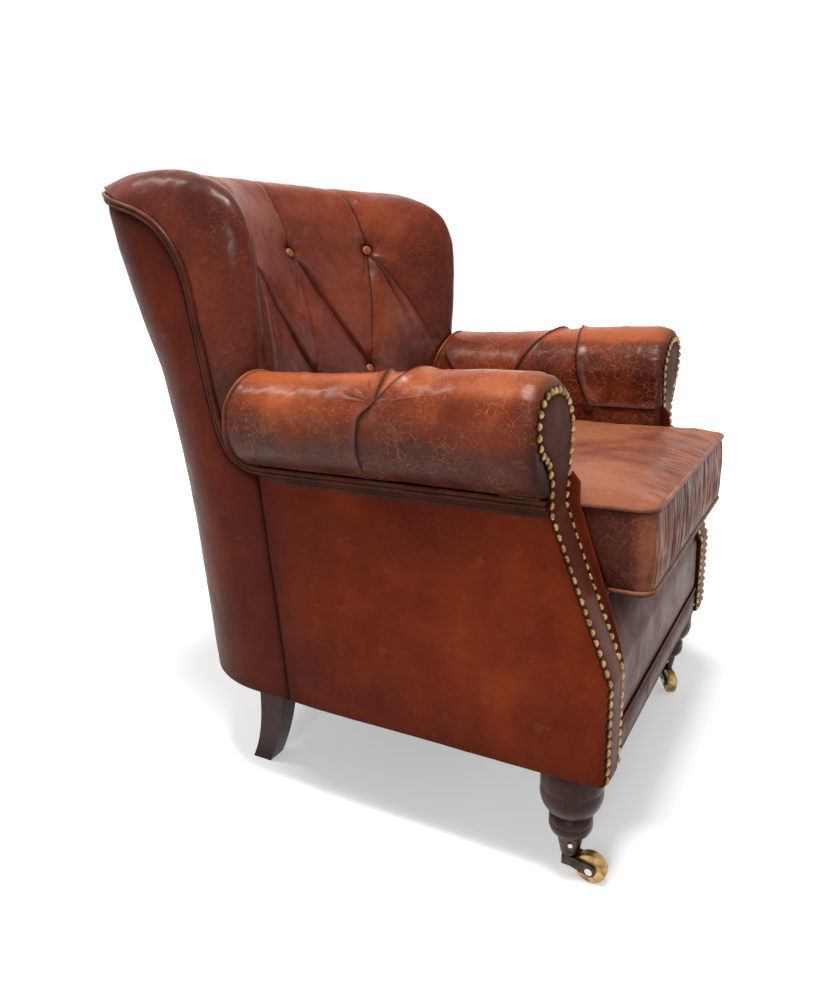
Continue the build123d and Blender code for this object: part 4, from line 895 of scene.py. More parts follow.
def arm_base():
    """The smooth arm as a grid: columns round the section, rows from the back joint to the facing."""
    counts = (70, 70, 80, 40)
    stations = [np.linspace(k, k + 1, count, endpoint=False) for k, count in enumerate(counts)]
    stations = np.concatenate(stations + [np.linspace(4, 5, 40)])
    section = smooth_rows(np.array([arm_at(s) for s in stations]), 2.5)
    tangent = np.gradient(section, axis=0)
    outward = np.stack([tangent[:, 1], -tangent[:, 0]], 1)
    outward /= np.linalg.norm(outward, axis=1, keepdims=True)
    keys = (0, 0.6, 1.2, 2.0, 2.8, 3.4, 5.0)
    inset = np.interp(stations, keys, (0.006, 0.007, 0.007, 0.014, 0.010, 0.009, 0.009))
    depth = np.interp(stations, keys, (0.010, 0.014, 0.018, 0.024, 0.016, 0.010, 0.009))
    overlap, rear_inset, rear_depth = 0.004, 0.009, 0.016
    rear_flats = np.linspace(1, 0, 10)[:-1] * 0.036
    rear_turns = np.linspace(math.pi / 2, 0, 18, endpoint=False)
    body = np.linspace(0, 1, arm_rows)[1:-1]
    front_turns = np.linspace(0, math.pi / 2, 26)
    front_flats = np.linspace(0, 1, 12)[1:] * 0.016
    grid = []
    for (x, z), (ox, oz), cut, deep in zip(section, outward, inset, depth):
        rear = arm_joint_y(x, z) + overlap
        turned = rear - rear_depth
        front = float(facing_y(z))
        # Each row: how far it lies within the section, and its place along the arm
        rows = [(rear_inset + flat, rear) for flat in rear_flats]
        rows += [(rear_inset * (1 - math.cos(turn)), rear - rear_depth * (1 - math.sin(turn)))
                 for turn in rear_turns]
        rows += [(0.0, turned + (front + deep - turned) * share) for share in body]
        rows += [(cut * (1 - math.cos(turn)), front + deep * (1 - math.sin(turn))) for turn in front_turns]
        rows += [(cut + flat, front) for flat in front_flats]
        grid.append([(x - ox * pinch, y, z - oz * pinch) for pinch, y in rows])
    return arm_drop(np.array(grid))


arm_grid = arm_base()
arm_normals = -grid_normals(arm_grid)


def arm_spot(station, y):
    """The point of the smooth arm at a station and a place along it."""
    x, z = arm_at(station)
    return arm_drop(np.array([x, y, z]))


def arm_line(*spots):
    """A line on the arm through spots (station, y)."""
    stations_per_metre = 12
    path = even(curved([(station, y * stations_per_metre) for station, y in spots]), 40)
    return np.array([arm_spot(station, y / stations_per_metre) for station, y in path])


def arm_folds():
    """The pleats from the arm's tuft and low buttons, with the short creases round them."""
    front, rear = ((4.0, button[0]) for button in arm_buttons)
    down_the_side = ((1.18, -0.072), (0.95, -0.067), (0.7, -0.064), (0.4, -0.062), (0.08, -0.058))
    folds = [
        fold(arm_line(arm_tuft, *down_the_side), (0.008, 0.0035, 0.0012), 0.010, 0.0022, 1, 0.05),
        fold(arm_line(arm_tuft, (2.0, -0.084), (2.6, -0.052), (3.1, -0.024), rear),
             (0.008, 0.004, 0.008), 0.010, 0.0022, -1, 0.05),
        fold(arm_line(arm_tuft, (2.0, -0.118), (2.6, -0.130), (3.1, -0.138), front),
             (0.008, 0.004, 0.008), 0.010, 0.0022, 1, 0.05),
        fold(arm_line((2.75, 0.105), (3.3, 0.062), rear), (0.002, 0.004, 0.008), 0.009, 0.0022, 1, 0.05),
        fold(arm_line(front, (4.0, -0.262)), (0.005, 0.003, 0.003), 0.006, 0.002),
        fold(arm_line(front, rear), (0.004, 0.0012, 0.004), 0.008, 0.004),
    ]
    rays = ((1.72, -0.050, 0.003), (1.60, -0.036, 0.003), (1.46, -0.038, 0.0025), (1.9, -0.062, 0.003),
            (1.22, -0.126, 0.002), (1.50, -0.146, 0.0025), (1.04, -0.100, 0.002), (1.30, -0.044, 0.002))
    for station, y, deep in rays:
        line = arm_line(arm_tuft, (station, y))
        folds.append(fold(line, (deep * 2, deep, 0.0), 0.004, 0.0018, shade=0.25))
    ends = ((3.55, -0.140), (3.6, -0.175), (4.35, -0.140), (4.4, -0.172), (3.75, -0.190), (4.25, -0.120))
    for end in ends:
        folds.append(fold(arm_line(front, end), (0.005, 0.002, 0.0), 0.004, 0.002, shade=0.4))
    return folds


def make_arms():
    depth, dark = sink(arm_grid, arm_normals, arm_folds())
    to_tuft = np.linalg.norm(arm_grid - arm_spot(*arm_tuft), axis=-1)
    depth = np.maximum(depth, dimple(to_tuft, 0.010, 0.014))
    buttons = []
    for y, z in arm_buttons:
        spot = arm_spot(4.0, y)
        pull, ring = button_seat(arm_grid, spot, 0.007, 0.012, 0.8)
        depth = np.maximum(depth, pull)
        dark = np.maximum(dark, ring)
        buttons.append(spot + np.array([0.0066, 0, 0]))
    x, y, z = arm_grid[..., 0], arm_grid[..., 1], arm_grid[..., 2]
    swell = waves(arm_grid, 3, (0.0011, 28), (0.0005, 90))
    front = np.minimum(y - facing_y(z), 0.05)
    free = smoothstep(0.0005, 0.012, front)
    radial = value_noise(arm_grid * (1, 0.12, 1), 190, 9) * 0.0007 * smoothstep(0.03, 0.008, front)
    grid = arm_grid - arm_normals * ((depth - swell) * free - radial * free)[..., None]
    # Painted shade where the arm meets the back.
    joint = smoothstep(0.016, 0.0, np.abs(y - y[:, :1]))
    dark = np.maximum(dark, 0.75 * joint)
    outer = x > arm_top[0] - 0.02
    # Painted shade towards the front end and on the outer side below the roll.
    edge = smoothstep(0.045, 0.0, front) * 0.30 + smoothstep(0.012, 0.0, front) * 0.3
    edge = edge + 0.30 * smoothstep(0.540, 0.490, z) * outer
    low = smoothstep(0.575, 0.520, z) * outer
    # Painted light on the top, painted shade on the low outer side and near the front, random tone, and
    # lighter towards the back.
    warm = 1.1 * smoothstep(0.580, 0.602, z) - 0.7 * low - 0.7 * smoothstep(0.10, 0.0, front)
    warm = warm + 0.6 * value_noise(arm_grid, 11, 13) + 0.25 * smoothstep(-0.02, 0.06, y)
    fields = {"dark": np.clip(np.maximum(dark, edge), 0, 1), "warm": np.clip(warm, -1, 1)}
    for arm in both_sides("arm_pad_{}_hide", grid, fields, "leather_arm", "arm", "arm_pad_{}"):
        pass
    make_buttons("arm", [(spot * (sign, 1, 1), (-sign, 0, 0)) for sign in (1, -1) for spot in buttons])


# Facings and nails

def facing_outline(inset, foot_z):
    """The facing's edge in (x, z), moved inwards by inset, from its outer foot to its inner foot."""
    outer, inner = facing_outer_x - inset, facing_inner_x + inset
    throat = (facing_throat[0] - inset, facing_throat[1])
    bulge = (facing_bulge[0] - inset, facing_bulge[1])
    top = (facing_top[0], facing_top[1] - inset)
    shoulder = (facing_shoulder[0] + inset, facing_shoulder[1])
    neck = (facing_neck_x + inset, facing_neck_z)
    waist, hip = (outer, facing_waist_z), (inner, facing_hip_z)
    runs = [
        [(outer, foot_z), waist], [waist, throat],
        rounding(throat, bulge, False), rounding(bulge, top, True), rounding(top, shoulder, False),
        [shoulder, neck], [neck, hip], [hip, (inner, foot_z)],
    ]
    points = [even(run, max(3, int(length_of(run) / 0.001)))[:-1] for run in runs]
    return np.vstack(points + [runs[-1][-1:]])


def on_facing(outline):
    """The outline's points set on the bent front."""
    return np.column_stack([outline[:, 0], facing_y(outline[:, 1]), outline[:, 1]])


def nail_spots():
    """Where the nails of one facing stand, evenly along its edge."""
    line = on_facing(facing_outline(nail_inset, base_bottom_z + 0.006))
    count = round(length_of(line) / nail_pitch)
    return even(line, count + 1)


def make_facings():
    bend = 0.012
    spots = nail_spots()
    edge = even(on_facing(facing_outline(nail_inset - 0.0018, base_bottom_z + 0.001)), 900)
    spine_z = np.minimum(edge[:, 2], 0.552)
    spine_x = np.interp(spine_z, (0.15, 0.40, 0.50, 0.552), (0.2615, 0.2600, 0.2610, 0.2740))
    spine = np.column_stack([spine_x, facing_y(spine_z), spine_z])
    shares = np.concatenate([[0, 0, 0.02], np.linspace(0.05, 1, 26)])
    grid = edge[:, None, :] + (spine - edge)[:, None, :] * shares[None, :, None]
    lift = np.interp(shares, (0, 0.02, 0.06, 0.3, 1), (0.0004, 0.0010, 0.0016, 0.0030, 0.0034))
    lift[0] = -0.0015
    to_nail = np.min(np.linalg.norm(grid[:, :, None, :] - spots[None, None, :, :], axis=3), axis=2)
    pinch = 0.0012 * np.exp(-(to_nail / 0.006) ** 2)
    z = grid[..., 2]
    sloped = smoothstep(facing_kink_z - bend, facing_kink_z + bend, z)
    sloped = sloped * smoothstep(facing_neck_z + bend, facing_neck_z - bend, z)
    tilt = math.atan2(facing_run, facing_rise)
    out = np.stack([np.zeros_like(sloped), -np.cos(tilt * sloped), np.sin(tilt * sloped)], -1)
    grid = grid + out * (lift[None, :] - pinch + 0.0004 * value_noise(grid, 60, 6))[..., None]
    head = smoothstep(0.47, 0.53, grid[..., 2]) * 0.35
    fields = {"dark": np.clip(np.exp(-(to_nail / 0.0075) ** 2) * 0.6 + head, 0, 1)}
    both_sides("facing_strip_{}", grid, fields, "leather_panel", "facing", "arm_facing_{}", welded=True)
    for sign, side in ((1, "left"), (-1, "right")):
        nails = join(f"dome_nails_{side}", [nail_mesh(spot * (sign, 1, 1)) for spot in spots])
        weld(nails)
        dress(nails, "chair", "nail_brass", finishes["nail"], f"facing_nails_{side}")


def make_facing_wraps():
    """The hide drawn round each facing's inner edge, standing forward beside the cushion."""
    z = np.linspace(facing_kink_z + 0.005, 0.494, 160)
    heights = (0.281, 0.300, 0.318, 0.352, 0.398, 0.454, 0.484, 0.494)
    reach = np.interp(z, heights, (0.002, 0.005, 0.007, 0.010, 0.012, 0.0145, 0.013, 0.004))
    reach = reach + 0.0006 * value_noise(z[:, None] * (1, 0, 0), 55, 8)
    root = np.interp(z, (facing_hip_z, facing_neck_z, facing_shoulder[1]),
                     (facing_inner_x, facing_neck_x, facing_shoulder[0]))
    turn = np.linspace(0, math.pi, 9)
    round_the_fold, hidden_from = 22, 17
    columns = []
    for height, depth, x in zip(z, reach, root):
        y = float(facing_y(height))
        tip = np.column_stack([x - 0.0022 + 0.0014 * np.cos(turn), y - depth + 0.0014 * (1 - np.sin(turn))])
        start = [(x + 0.0016, y - 0.0004), (x - 0.0004, y - 0.0024)]
        side = even(np.vstack([start, tip, [(x - 0.0036, y + 0.002)]]), round_the_fold)
        columns.append(np.column_stack([side, np.full(round_the_fold, height)]))
    grid = np.array(columns)
    # Painted shade on the part of the wrap that turns back out of sight.
    dark = np.broadcast_to(0.35 * (np.arange(round_the_fold) > hidden_from), grid.shape[:2])
    both_sides("facing_wrap_{}", grid, {"dark": dark}, "leather_panel", "shell")


nail_profile = even(hermite([
    (0.0, 0.0036), (0.0022, 0.0032), (0.0038, 0.0021), (0.0046, 0.0010), (0.0052, 0.0008),
    (0.0055, 0.0002), (0.0052, -0.0006),
]), 14)
nail_foot = 9


def nail_mesh(spot):
    """A hand-set dome nail with a rolled rim, slightly askew."""
    sloped = facing_kink_z < spot[2] < facing_neck_z
    normal = Vector((0, -facing_rise, facing_run)).normalized() if sloped else Vector((0, -1, 0))
    normal += Vector(random.normal(0, 0.05, 3))
    size = 1 + random.normal(0, 0.025)
    rim = smoothstep(0.0038, 0.0047, nail_profile[:, 0])
    rim = np.where(np.arange(len(rim)) >= nail_foot, np.maximum(rim, 0.75), rim)
    seat = spot + np.array(normal) * 0.0010
    return dome("nail", nail_profile * size, seat, normal, 20, {"rim": rim})


# Outside arm panels

def seam_y(z):
    """The upright seam between the outside arm and the outside back."""
    (y0, z0), (y1, z1) = side_seam
    return np.interp(z, (z0, z1), (y0, y1))


def panel_shade(z, to_seam, to_top, top_share):
    """How much darker a panel is painted: a dark seam line that fades out beside it, painted shade below its
    upper edge under the cords, and darker towards its foot.
    """
    seam = 0.9 * np.exp(-to_seam / 0.0014) + 0.35 * np.exp(-to_seam / 0.012)
    return seam + top_share * np.exp(-to_top / 0.010) + 0.30 * np.exp(-(z - base_bottom_z) / 0.02)


def outside_arm_grid():
    """The panel on the sitter's left: rows from the foot up, points from the seam to the facing."""
    rows = np.concatenate([[0.1526, 0.1520, 0.1522, 0.1532], np.linspace(0.155, panel_top_z, 200)])
    tucks = np.concatenate([[0.010, 0.005, 0.0015, 0.0003], np.zeros(200)])
    edge, facing_x = 0.006, 0.279
    turn = np.linspace(0, math.pi / 2, 10)[1:]
    xs = np.concatenate([np.full(170, base_half_width), base_half_width - edge * (1 - np.cos(turn)),
                         np.linspace(base_half_width - edge, facing_x, 9)[1:]])
    grid = []
    for z, tuck in zip(rows, tucks):
        front = float(facing_y(z))
        ys = np.concatenate([np.linspace(float(seam_y(z)), front + edge, 170),
                             front + edge * (1 - np.sin(turn)), np.full(8, front)])
        grid.append(np.column_stack([xs - tuck, ys, np.full(len(xs), z)]))
    return np.array(grid)


def make_outside_arms():
    grid = outside_arm_grid()
    y, z = grid[..., 1], grid[..., 2]
    to_seam = np.abs(y - seam_y(z))
    to_front = np.abs(y - facing_y(z))
    to_top = np.abs(panel_top_z - z)
    free = smoothstep(0.008, 0.02, to_front)
    puff = smoothstep(0, 0.05, to_seam) * smoothstep(0, 0.05, to_top) * smoothstep(0.004, 0.05, to_front)
    wave = waves(grid, 11, (0.0007, 16), (0.00035, 55))
    pulls = 0.0008 * np.cos((z - 0.16) * 2 * math.pi / (2 * nail_pitch)) * np.exp(-to_front / 0.018) * free
    pinch = 0.0022 * np.exp(-to_seam / 0.003) + 0.001 * np.exp(-to_top / 0.006)
    grid[..., 0] += 0.0022 * puff + (wave + pulls) * free - pinch
    # Darker along the seam, at the foot and towards the front edge, with painted shade below the upper edge.
    dark = panel_shade(z, to_seam, to_top, 0.5) + 0.25 * np.exp(-to_front / 0.012)
    # A painted pool of light on the panel's middle; darker towards the foot and the seam, and random tone.
    painted_light_spot = np.exp(-((y + 0.20) / 0.10) ** 2 - ((z - 0.37) / 0.09) ** 2)
    warm = 0.9 * painted_light_spot - 0.35 * smoothstep(0.26, 0.18, z)
    warm = warm - 0.5 * np.exp(-to_seam / 0.035) + 0.5 * value_noise(grid, 7, 14)
    fields = {"dark": np.clip(dark, 0, 0.95), "warm": np.clip(warm, -1, 1)}
    both_sides("outside_arm_{}_hide", grid, fields, "leather_panel", "panel", "outside_arm_{}",
               flip_left=False)


# Outside back

wing_line = hermite([
    (0.100, 0.476), (0.128, 0.480), (0.150, 0.494), (0.163, 0.520), (0.172, 0.570), (0.181, 0.650),
    (0.189, 0.705), (0.203, 0.741), (0.230, 0.773), (0.262, 0.791), (0.300, 0.803), (0.340, 0.815),
    (0.372, 0.8225),
])


def wing_edge(setback):
    """The wing's seam line in side view, moved back and down by setback."""
    slope = np.gradient(wing_line, axis=0)
    slope /= np.linalg.norm(slope, axis=1, keepdims=True)
    return wing_line + setback * np.stack([slope[:, 1], -slope[:, 0]], 1)


def shell_at(z):
    """The outside back's half width, corner radius and rear face at a height."""
    return [float(np.interp(z, shell_rows[:, 0], shell_rows[:, k])) for k in (1, 2, 3)]


def shell_plan(z):
    """The outside back's plan at a height, from the sitter's right seam round to the left one."""
    half, radius, rear = shell_at(z)
    turn = np.linspace(0, math.pi / 2, 24)
    corner = np.stack([half - radius + radius * np.cos(turn), rear - radius + radius * np.sin(turn)], 1)
    middle_x = np.linspace(half - radius, 0, 12)[1:]
    middle = np.column_stack([middle_x, np.full(len(middle_x), rear)])
    left = np.vstack([[(half, float(seam_y(z)))], corner, middle])
    return even(np.vstack([left * (-1, 1), left[::-1][1:]]), shell_columns)


def shell_base():
    """The outside back's smooth surface, cut off along the wings' seam."""
    edge = wing_edge(2 * welt_gap)
    edge = edge[np.argsort(edge[:, 0])]
    plans_z = np.linspace(base_bottom_z, 0.835, 60)
    plans = np.array([shell_plan(z) for z in plans_z])
    grid = np.zeros((shell_columns, shell_levels, 3))
    for c in range(shell_columns):
        xs, ys = plans[:, c, 0], plans[:, c, 1]
        top = 0.8
        for _ in range(12):
            top = float(np.interp(np.interp(top, plans_z, ys), edge[:, 0], edge[:, 1]))
        z = base_bottom_z + (top - base_bottom_z) * np.linspace(0, 1, shell_levels)
        grid[c] = np.column_stack([np.interp(z, plans_z, xs), np.interp(z, plans_z, ys), z])
    return grid


def make_shell():
    grid = shell_base()
    normals = -grid_normals(grid)
    y, z = grid[..., 1], grid[..., 2]
    no_seam_above = 10 * (z > 0.49)
    to_seam = np.abs(y - seam_y(z)) + no_seam_above
    to_top = grid[:, -1:, 2] - z
    wave = waves(grid, 21, (0.0009, 12), (0.0004, 45))
    free = smoothstep(0, 0.02, to_seam) * smoothstep(0, 0.015, to_top)
    pinch = 0.0022 * np.exp(-to_seam / 0.003) + 0.0020 * np.exp(-to_top / 0.004)
    grid = grid + normals * (wave * free - pinch)[..., None]
    hems = ((0.010, 0.0), (0.005, -0.0006), (0.0012, -0.0004))
    lips = ((0.001, 0.003), (0.004, 0.006), (0.010, 0.012))
    foot = [grid[:, :1] - normals[:, :1] * inward + np.array([0, 0, lift]) for inward, lift in hems]
    top = [grid[:, -1:] - normals[:, -1:] * inward + np.array([0, 0, lift]) for inward, lift in lips]
    # Darker along the seam and at the foot, with painted shade below the wings' cords.
    dark = panel_shade(z, to_seam, to_top, 0.6)
    dark = np.concatenate([dark[:, :1]] * len(hems) + [dark] + [dark[:, -1:]] * len(lips), axis=1)
    shell = grid_piece("outside_back_hide", np.concatenate(foot + [grid] + top, axis=1),
                       fields={"dark": np.clip(dark, 0, 0.95)})
    dress(shell, "chair", "leather_panel", finishes["shell"], "outside_back")


# Welts

def wing_path(setback, stand, side):
    """A line in space along the wing's edge seam and the crest, from under the arm to the middle."""
    edge = even(wing_edge(setback), 500)
    end_z = float(edge[:, 1].max())
    end_rear = shell_at(end_z)[2]
    points = []
    for y, z in edge:
        half, radius, rear = shell_at(z)
        side_y = rear - radius
        if y <= side_y:
            points.append((half + stand, y, z))
        elif y < rear:
            turn = math.asin(min(1.0, (y - side_y) / radius))
            reach = radius + stand
            points.append((half - radius + reach * math.cos(turn), side_y + reach * math.sin(turn), z))
    points = [point for point in points if point[1] < end_rear - 0.0005]
    points += [(x, end_rear + stand, end_z) for x in np.linspace(points[-1][0] * 0.8, 0, 14)]
    return even(points, 700) * (side, 1, 1)


def under_arm_path(drop, stand, side):
    """A line under the arm's roll, from the facing back to the wing's edge."""
    start = (side * (base_half_width + stand), facing_head_y + 0.001, 0.476 - drop)
    return np.linspace(start, (start[0], 0.100, start[2]), 60)


def welt_line(setback, stand, side):
    """The whole line of a cord: under the arm, up the wing and along the crest to its middle."""
    rising = wing_path(setback, stand, side)
    level = under_arm_path(setback, stand, side)
    return even(np.vstack([level[:-1], rising]), 1100)


def stitches(line):
    """Single stitches in a row, each a short thread that dips at its ends."""
    length, gap, rings, sides = 0.0030, 0.0016, 5, 6
    radii = 0.00042 * np.array([0.45, 0.95, 1.0, 0.95, 0.45])
    count = int(length_of(line) / (length + gap))
    spots = even(line, count * (rings + 1) + 1)
    starts = [k * (rings + 1) for k in range(count)]
    verts = [tube_points(even(spots[at:at + rings], rings), radii, sides).reshape(-1, 3) for at in starts]
    faces = [grid_faces(rings, sides, True, k * rings * sides, flip=True) for k in range(count)]
    return make_mesh("stitch", np.vstack(verts), np.vstack(faces))


def welt(name, line, radius):
    """A cord of piping, paler on its upper side with rubbed wear and painted highlight, and darkened below
    with painted shade.
    """
    line = np.asarray(line)
    wobble = 1 + waves(line, 31, (0.05, 70), (0.03, 240))
    rings = tube_points(line, radius * wobble, 14)
    up = (rings[..., 2] - line[:, None, 2]) / radius
    # Upper side paler, rubbed wear with a painted highlight; underside darkened, painted shade.
    rub = smoothstep(0.2, 0.9, up) * (0.35 + 0.45 * smoothstep(-0.2, 0.8, value_noise(rings, 30, 33)))
    dark = 0.85 * smoothstep(0.1, -0.6, up)
    return grid_piece(name, rings, closed_v=True, flip=True, fields={"dark": dark, "rub": rub})


def under_strip(side):
    """The folded strip of hide below the cords under the arm, with a stitched fold at its foot."""
    line = under_arm_path(0.0, 0.0, side)
    profile = [(-0.001, 0.4715), (0.0022, 0.4700), (0.0026, 0.4660), (0.0022, 0.4605), (0.0008, 0.4585)]
    profile = even(profile, 16)
    grid = np.zeros((len(line), len(profile), 3))
    grid[..., 0] = side * (base_half_width + profile[None, :, 0])
    grid[..., 1] = line[:, None, 1]
    grid[..., 2] = profile[None, :, 1] + 0.0004 * value_noise(line * (1, 1, 0), 60, 35)[:, None]
    # The whole strip is darkened with painted shade, as it lies under the arm's roll.
    return grid_piece("strip", grid, flip=side > 0, fields={"dark": np.full(grid.shape[:2], 0.45)})


def make_welts():
    parts = []
    for side in (-1, 1):
        parts.append(welt("welt", welt_line(0.0008, 0.0006, side), 0.0030))
        parts.append(welt("welt", welt_line(welt_gap, 0.0004, side), 0.0026))
        parts.append(under_strip(side))
        parts.append(stitches(welt_line(welt_gap + 0.0062, 0.0030, side)[:330]))
        parts.append(stitches(welt_line(welt_gap + 0.0052, -0.0002, side)[370:760]))
    edge = join("double_welt", parts)
    dress(edge, "chair", "leather_piping", finishes["welt"], "edge_piping")
    rims = []
    for side in (-1, 1):
        line = []
        for station in np.linspace(0.05, 3.95, 120):
            x, z = arm_at(station)
            line.append(arm_drop(np.array([x, arm_joint_y(x, z) - 0.004, z])) * (side, 1, 1))
        rims.append(welt("rim", even(smooth_rows(np.array(line), 3.0), 200), 0.0027))
    ends = join("arm_rear_piping", rims)
    dress(ends, "chair", "leather_piping", finishes["piping"])


# Front border and base band

def front_panel(name, low, high, setback, seed):
    """An upholstered strip across the front, bent as the facings are, with rolled edges."""
    half, roll, tuck = 0.2305, 0.004, 0.012
    columns = np.linspace(-half, half, 320)
    turn = np.linspace(0, math.pi / 2, 8)
    body = np.linspace(low + roll, high - roll, 70)[1:-1]
    rise, fall = roll * (1 - np.cos(turn)), roll * (1 - np.cos(turn[::-1]))
    z = np.concatenate([[low + roll * 0.2], low + rise, body, high - fall, [high - roll * 0.2]])
    lip = np.concatenate([[tuck], roll * (1 - np.sin(turn)), np.zeros(len(body)),
                          roll * (1 - np.sin(turn[::-1])), [tuck]])
    grid = np.zeros((len(columns), len(z), 3))
    grid[..., 0] = columns[:, None]
    grid[..., 1] = smooth_rows(facing_y(z) + setback + lip, 2.0)
    grid[..., 2] = z
    inner = smoothstep(0, 0.02, np.minimum(grid[..., 2] - low, high - grid[..., 2]))
    ends = smoothstep(0, 0.02, half - np.abs(grid[..., 0]))
    wave = waves(grid, seed, (0.0009, 18), (0.0004, 60))
    grid[..., 1] -= inner * (0.0012 * ends + wave)
    # Painted shade along the rolled edges and at the ends beside the facings, and a painted shadow under the
    # cushion's overhang.
    cushion_shadow = smoothstep(0.290, 0.335, grid[..., 2])
    dark = 0.45 * (1 - inner) + 0.5 * (1 - ends) ** 2 + 0.8 * cushion_shadow
    return grid_piece(name, grid, fields={"dark": np.clip(dark, 0, 0.9)}, flip=True)


def make_front():
    border = front_panel("front_border_hide", 0.1985, 0.3555, 0.0030, 41)
    dress(border, "chair", "leather_panel", finishes["border"], "front_border")
    band = front_panel("base_band_hide", 0.1530, 0.1945, 0.0010, 43)
    dress(band, "chair", "leather_panel", finishes["border"], "lower_band")
    line = np.linspace((-0.2300, -0.3392, 0.1966), (0.2300, -0.3392, 0.1966), 120)
    seam = welt("band_welt", line, 0.0018)
    dress(seam, "chair", "leather_piping", finishes["welt"])


# Seat cushion

def corner(centre, radius, first, last, count):
    """Points of a rounded corner between two directions, in degrees."""
    angles = np.radians(np.linspace(first, last, count))
    return np.stack([centre[0] + radius * np.cos(angles), centre[1] + radius * np.sin(angles)], 1)


def cushion_outline(z):
    """The cushion's outline from above at a height, with ears that reach back to the sloping facings."""
    front, rear = cushion_front_y, cushion_rear_y
    ear_y = float(facing_y(z)) - cushion_ear_gap
    wide, tight = wide_corner, tight_corner
    stretches = [
        even([(0, front), (cushion_ear - wide, front)], 250),
        corner((cushion_ear - wide, front + wide), wide, -90, 0, 30),
        even([(cushion_ear, front + wide), (cushion_ear, ear_y - tight)], 34),
        corner((cushion_ear - tight, ear_y - tight), tight, 0, 90, 12),
        corner((cushion_half + tight, ear_y + tight), tight, 270, 180, 12),
        even([(cushion_half, ear_y + tight), (cushion_half, rear - wide)], 120),
        corner((cushion_half - wide, rear - wide), wide, 0, 90, 16),
        even([(cushion_half - wide, rear), (0, rear)], 80),
    ]
    right = np.vstack([stretch[:-1] for stretch in stretches] + [stretches[-1][-1:]])
    return np.vstack([right, right[::-1][1:-1] * (-1, 1)])


def outward_of(outline):
    """Unit directions out of a closed outline, softened a little."""
    tangent = np.roll(outline, -1, 0) - np.roll(outline, 1, 0)
    outward = np.stack([tangent[:, 1], -tangent[:, 0]], 1)
    outward /= np.linalg.norm(outward, axis=1, keepdims=True)
    outward = smooth_rows(np.vstack([outward[-20:], outward, outward[:20]]), 3.0)[20:-20]
    return outward / np.linalg.norm(outward, axis=1, keepdims=True)


def dome_height(plan):
    """How far the cushion's top stands above its upper seam at points seen from above."""
    radius = 0.03
    across, ahead = cushion_ear - np.abs(plan[:, 0]), plan[:, 1] - cushion_front_y
    past = np.hypot(np.maximum(radius - across, 0), np.maximum(radius - ahead, 0))
    inner = np.where(past > 0, radius - past, np.minimum(across, ahead))
    inner = np.maximum(np.minimum(inner, cushion_rear_y - plan[:, 1]) - 0.003, 0)
    edge, dome = 1 - np.exp(-inner / 0.004), 1 - np.exp(-inner / 0.045)
    return 0.0005 + 0.0025 * edge + (cushion_crown - 0.001) * dome


def cushion_base(low, high):
    """The smooth cushion as closed rings: its underside, its sides and its top, and their counts."""
    outline, foot = cushion_outline(high), cushion_outline(low)
    outward = outward_of(outline)
    count = len(outline)
    spine = np.stack([np.zeros(count), np.clip(outline[:, 1], -0.24, 0.0)], 1)

    def level_ring(plan, z):
        return np.column_stack([plan, np.full(count, z)])

    under = [level_ring(foot + (spine - foot) * share, cushion_bottom_z)
             for share in (1.0, 0.96, 0.8, 0.6, 0.4, 0.2, 0.08, 0.02)]
    sides = []
    for step in np.linspace(0, 1, 64):
        bulge = 0.0045 * math.sin(math.pi * step) ** 0.6 - 0.0032
        level = low + (high - low) * step
        sides.append(level_ring(cushion_outline(level) + outward * bulge, level))
    behind_ear = (outline[:, 1] < 0) & (outward[:, 1] > 0.1)
    inset = 0.0034 * smooth_rows(np.where(behind_ear, 0.0, 1.0)[:, None], 3.0)
    top = []
    for share in np.linspace(0.004, 1, 150) ** 1.35:
        plan = outline + (spine - outline) * share - outward * inset * (1 - share)
        top.append(np.column_stack([plan, high + dome_height(plan)]))
    return np.array(under + sides + top), len(under), len(sides)


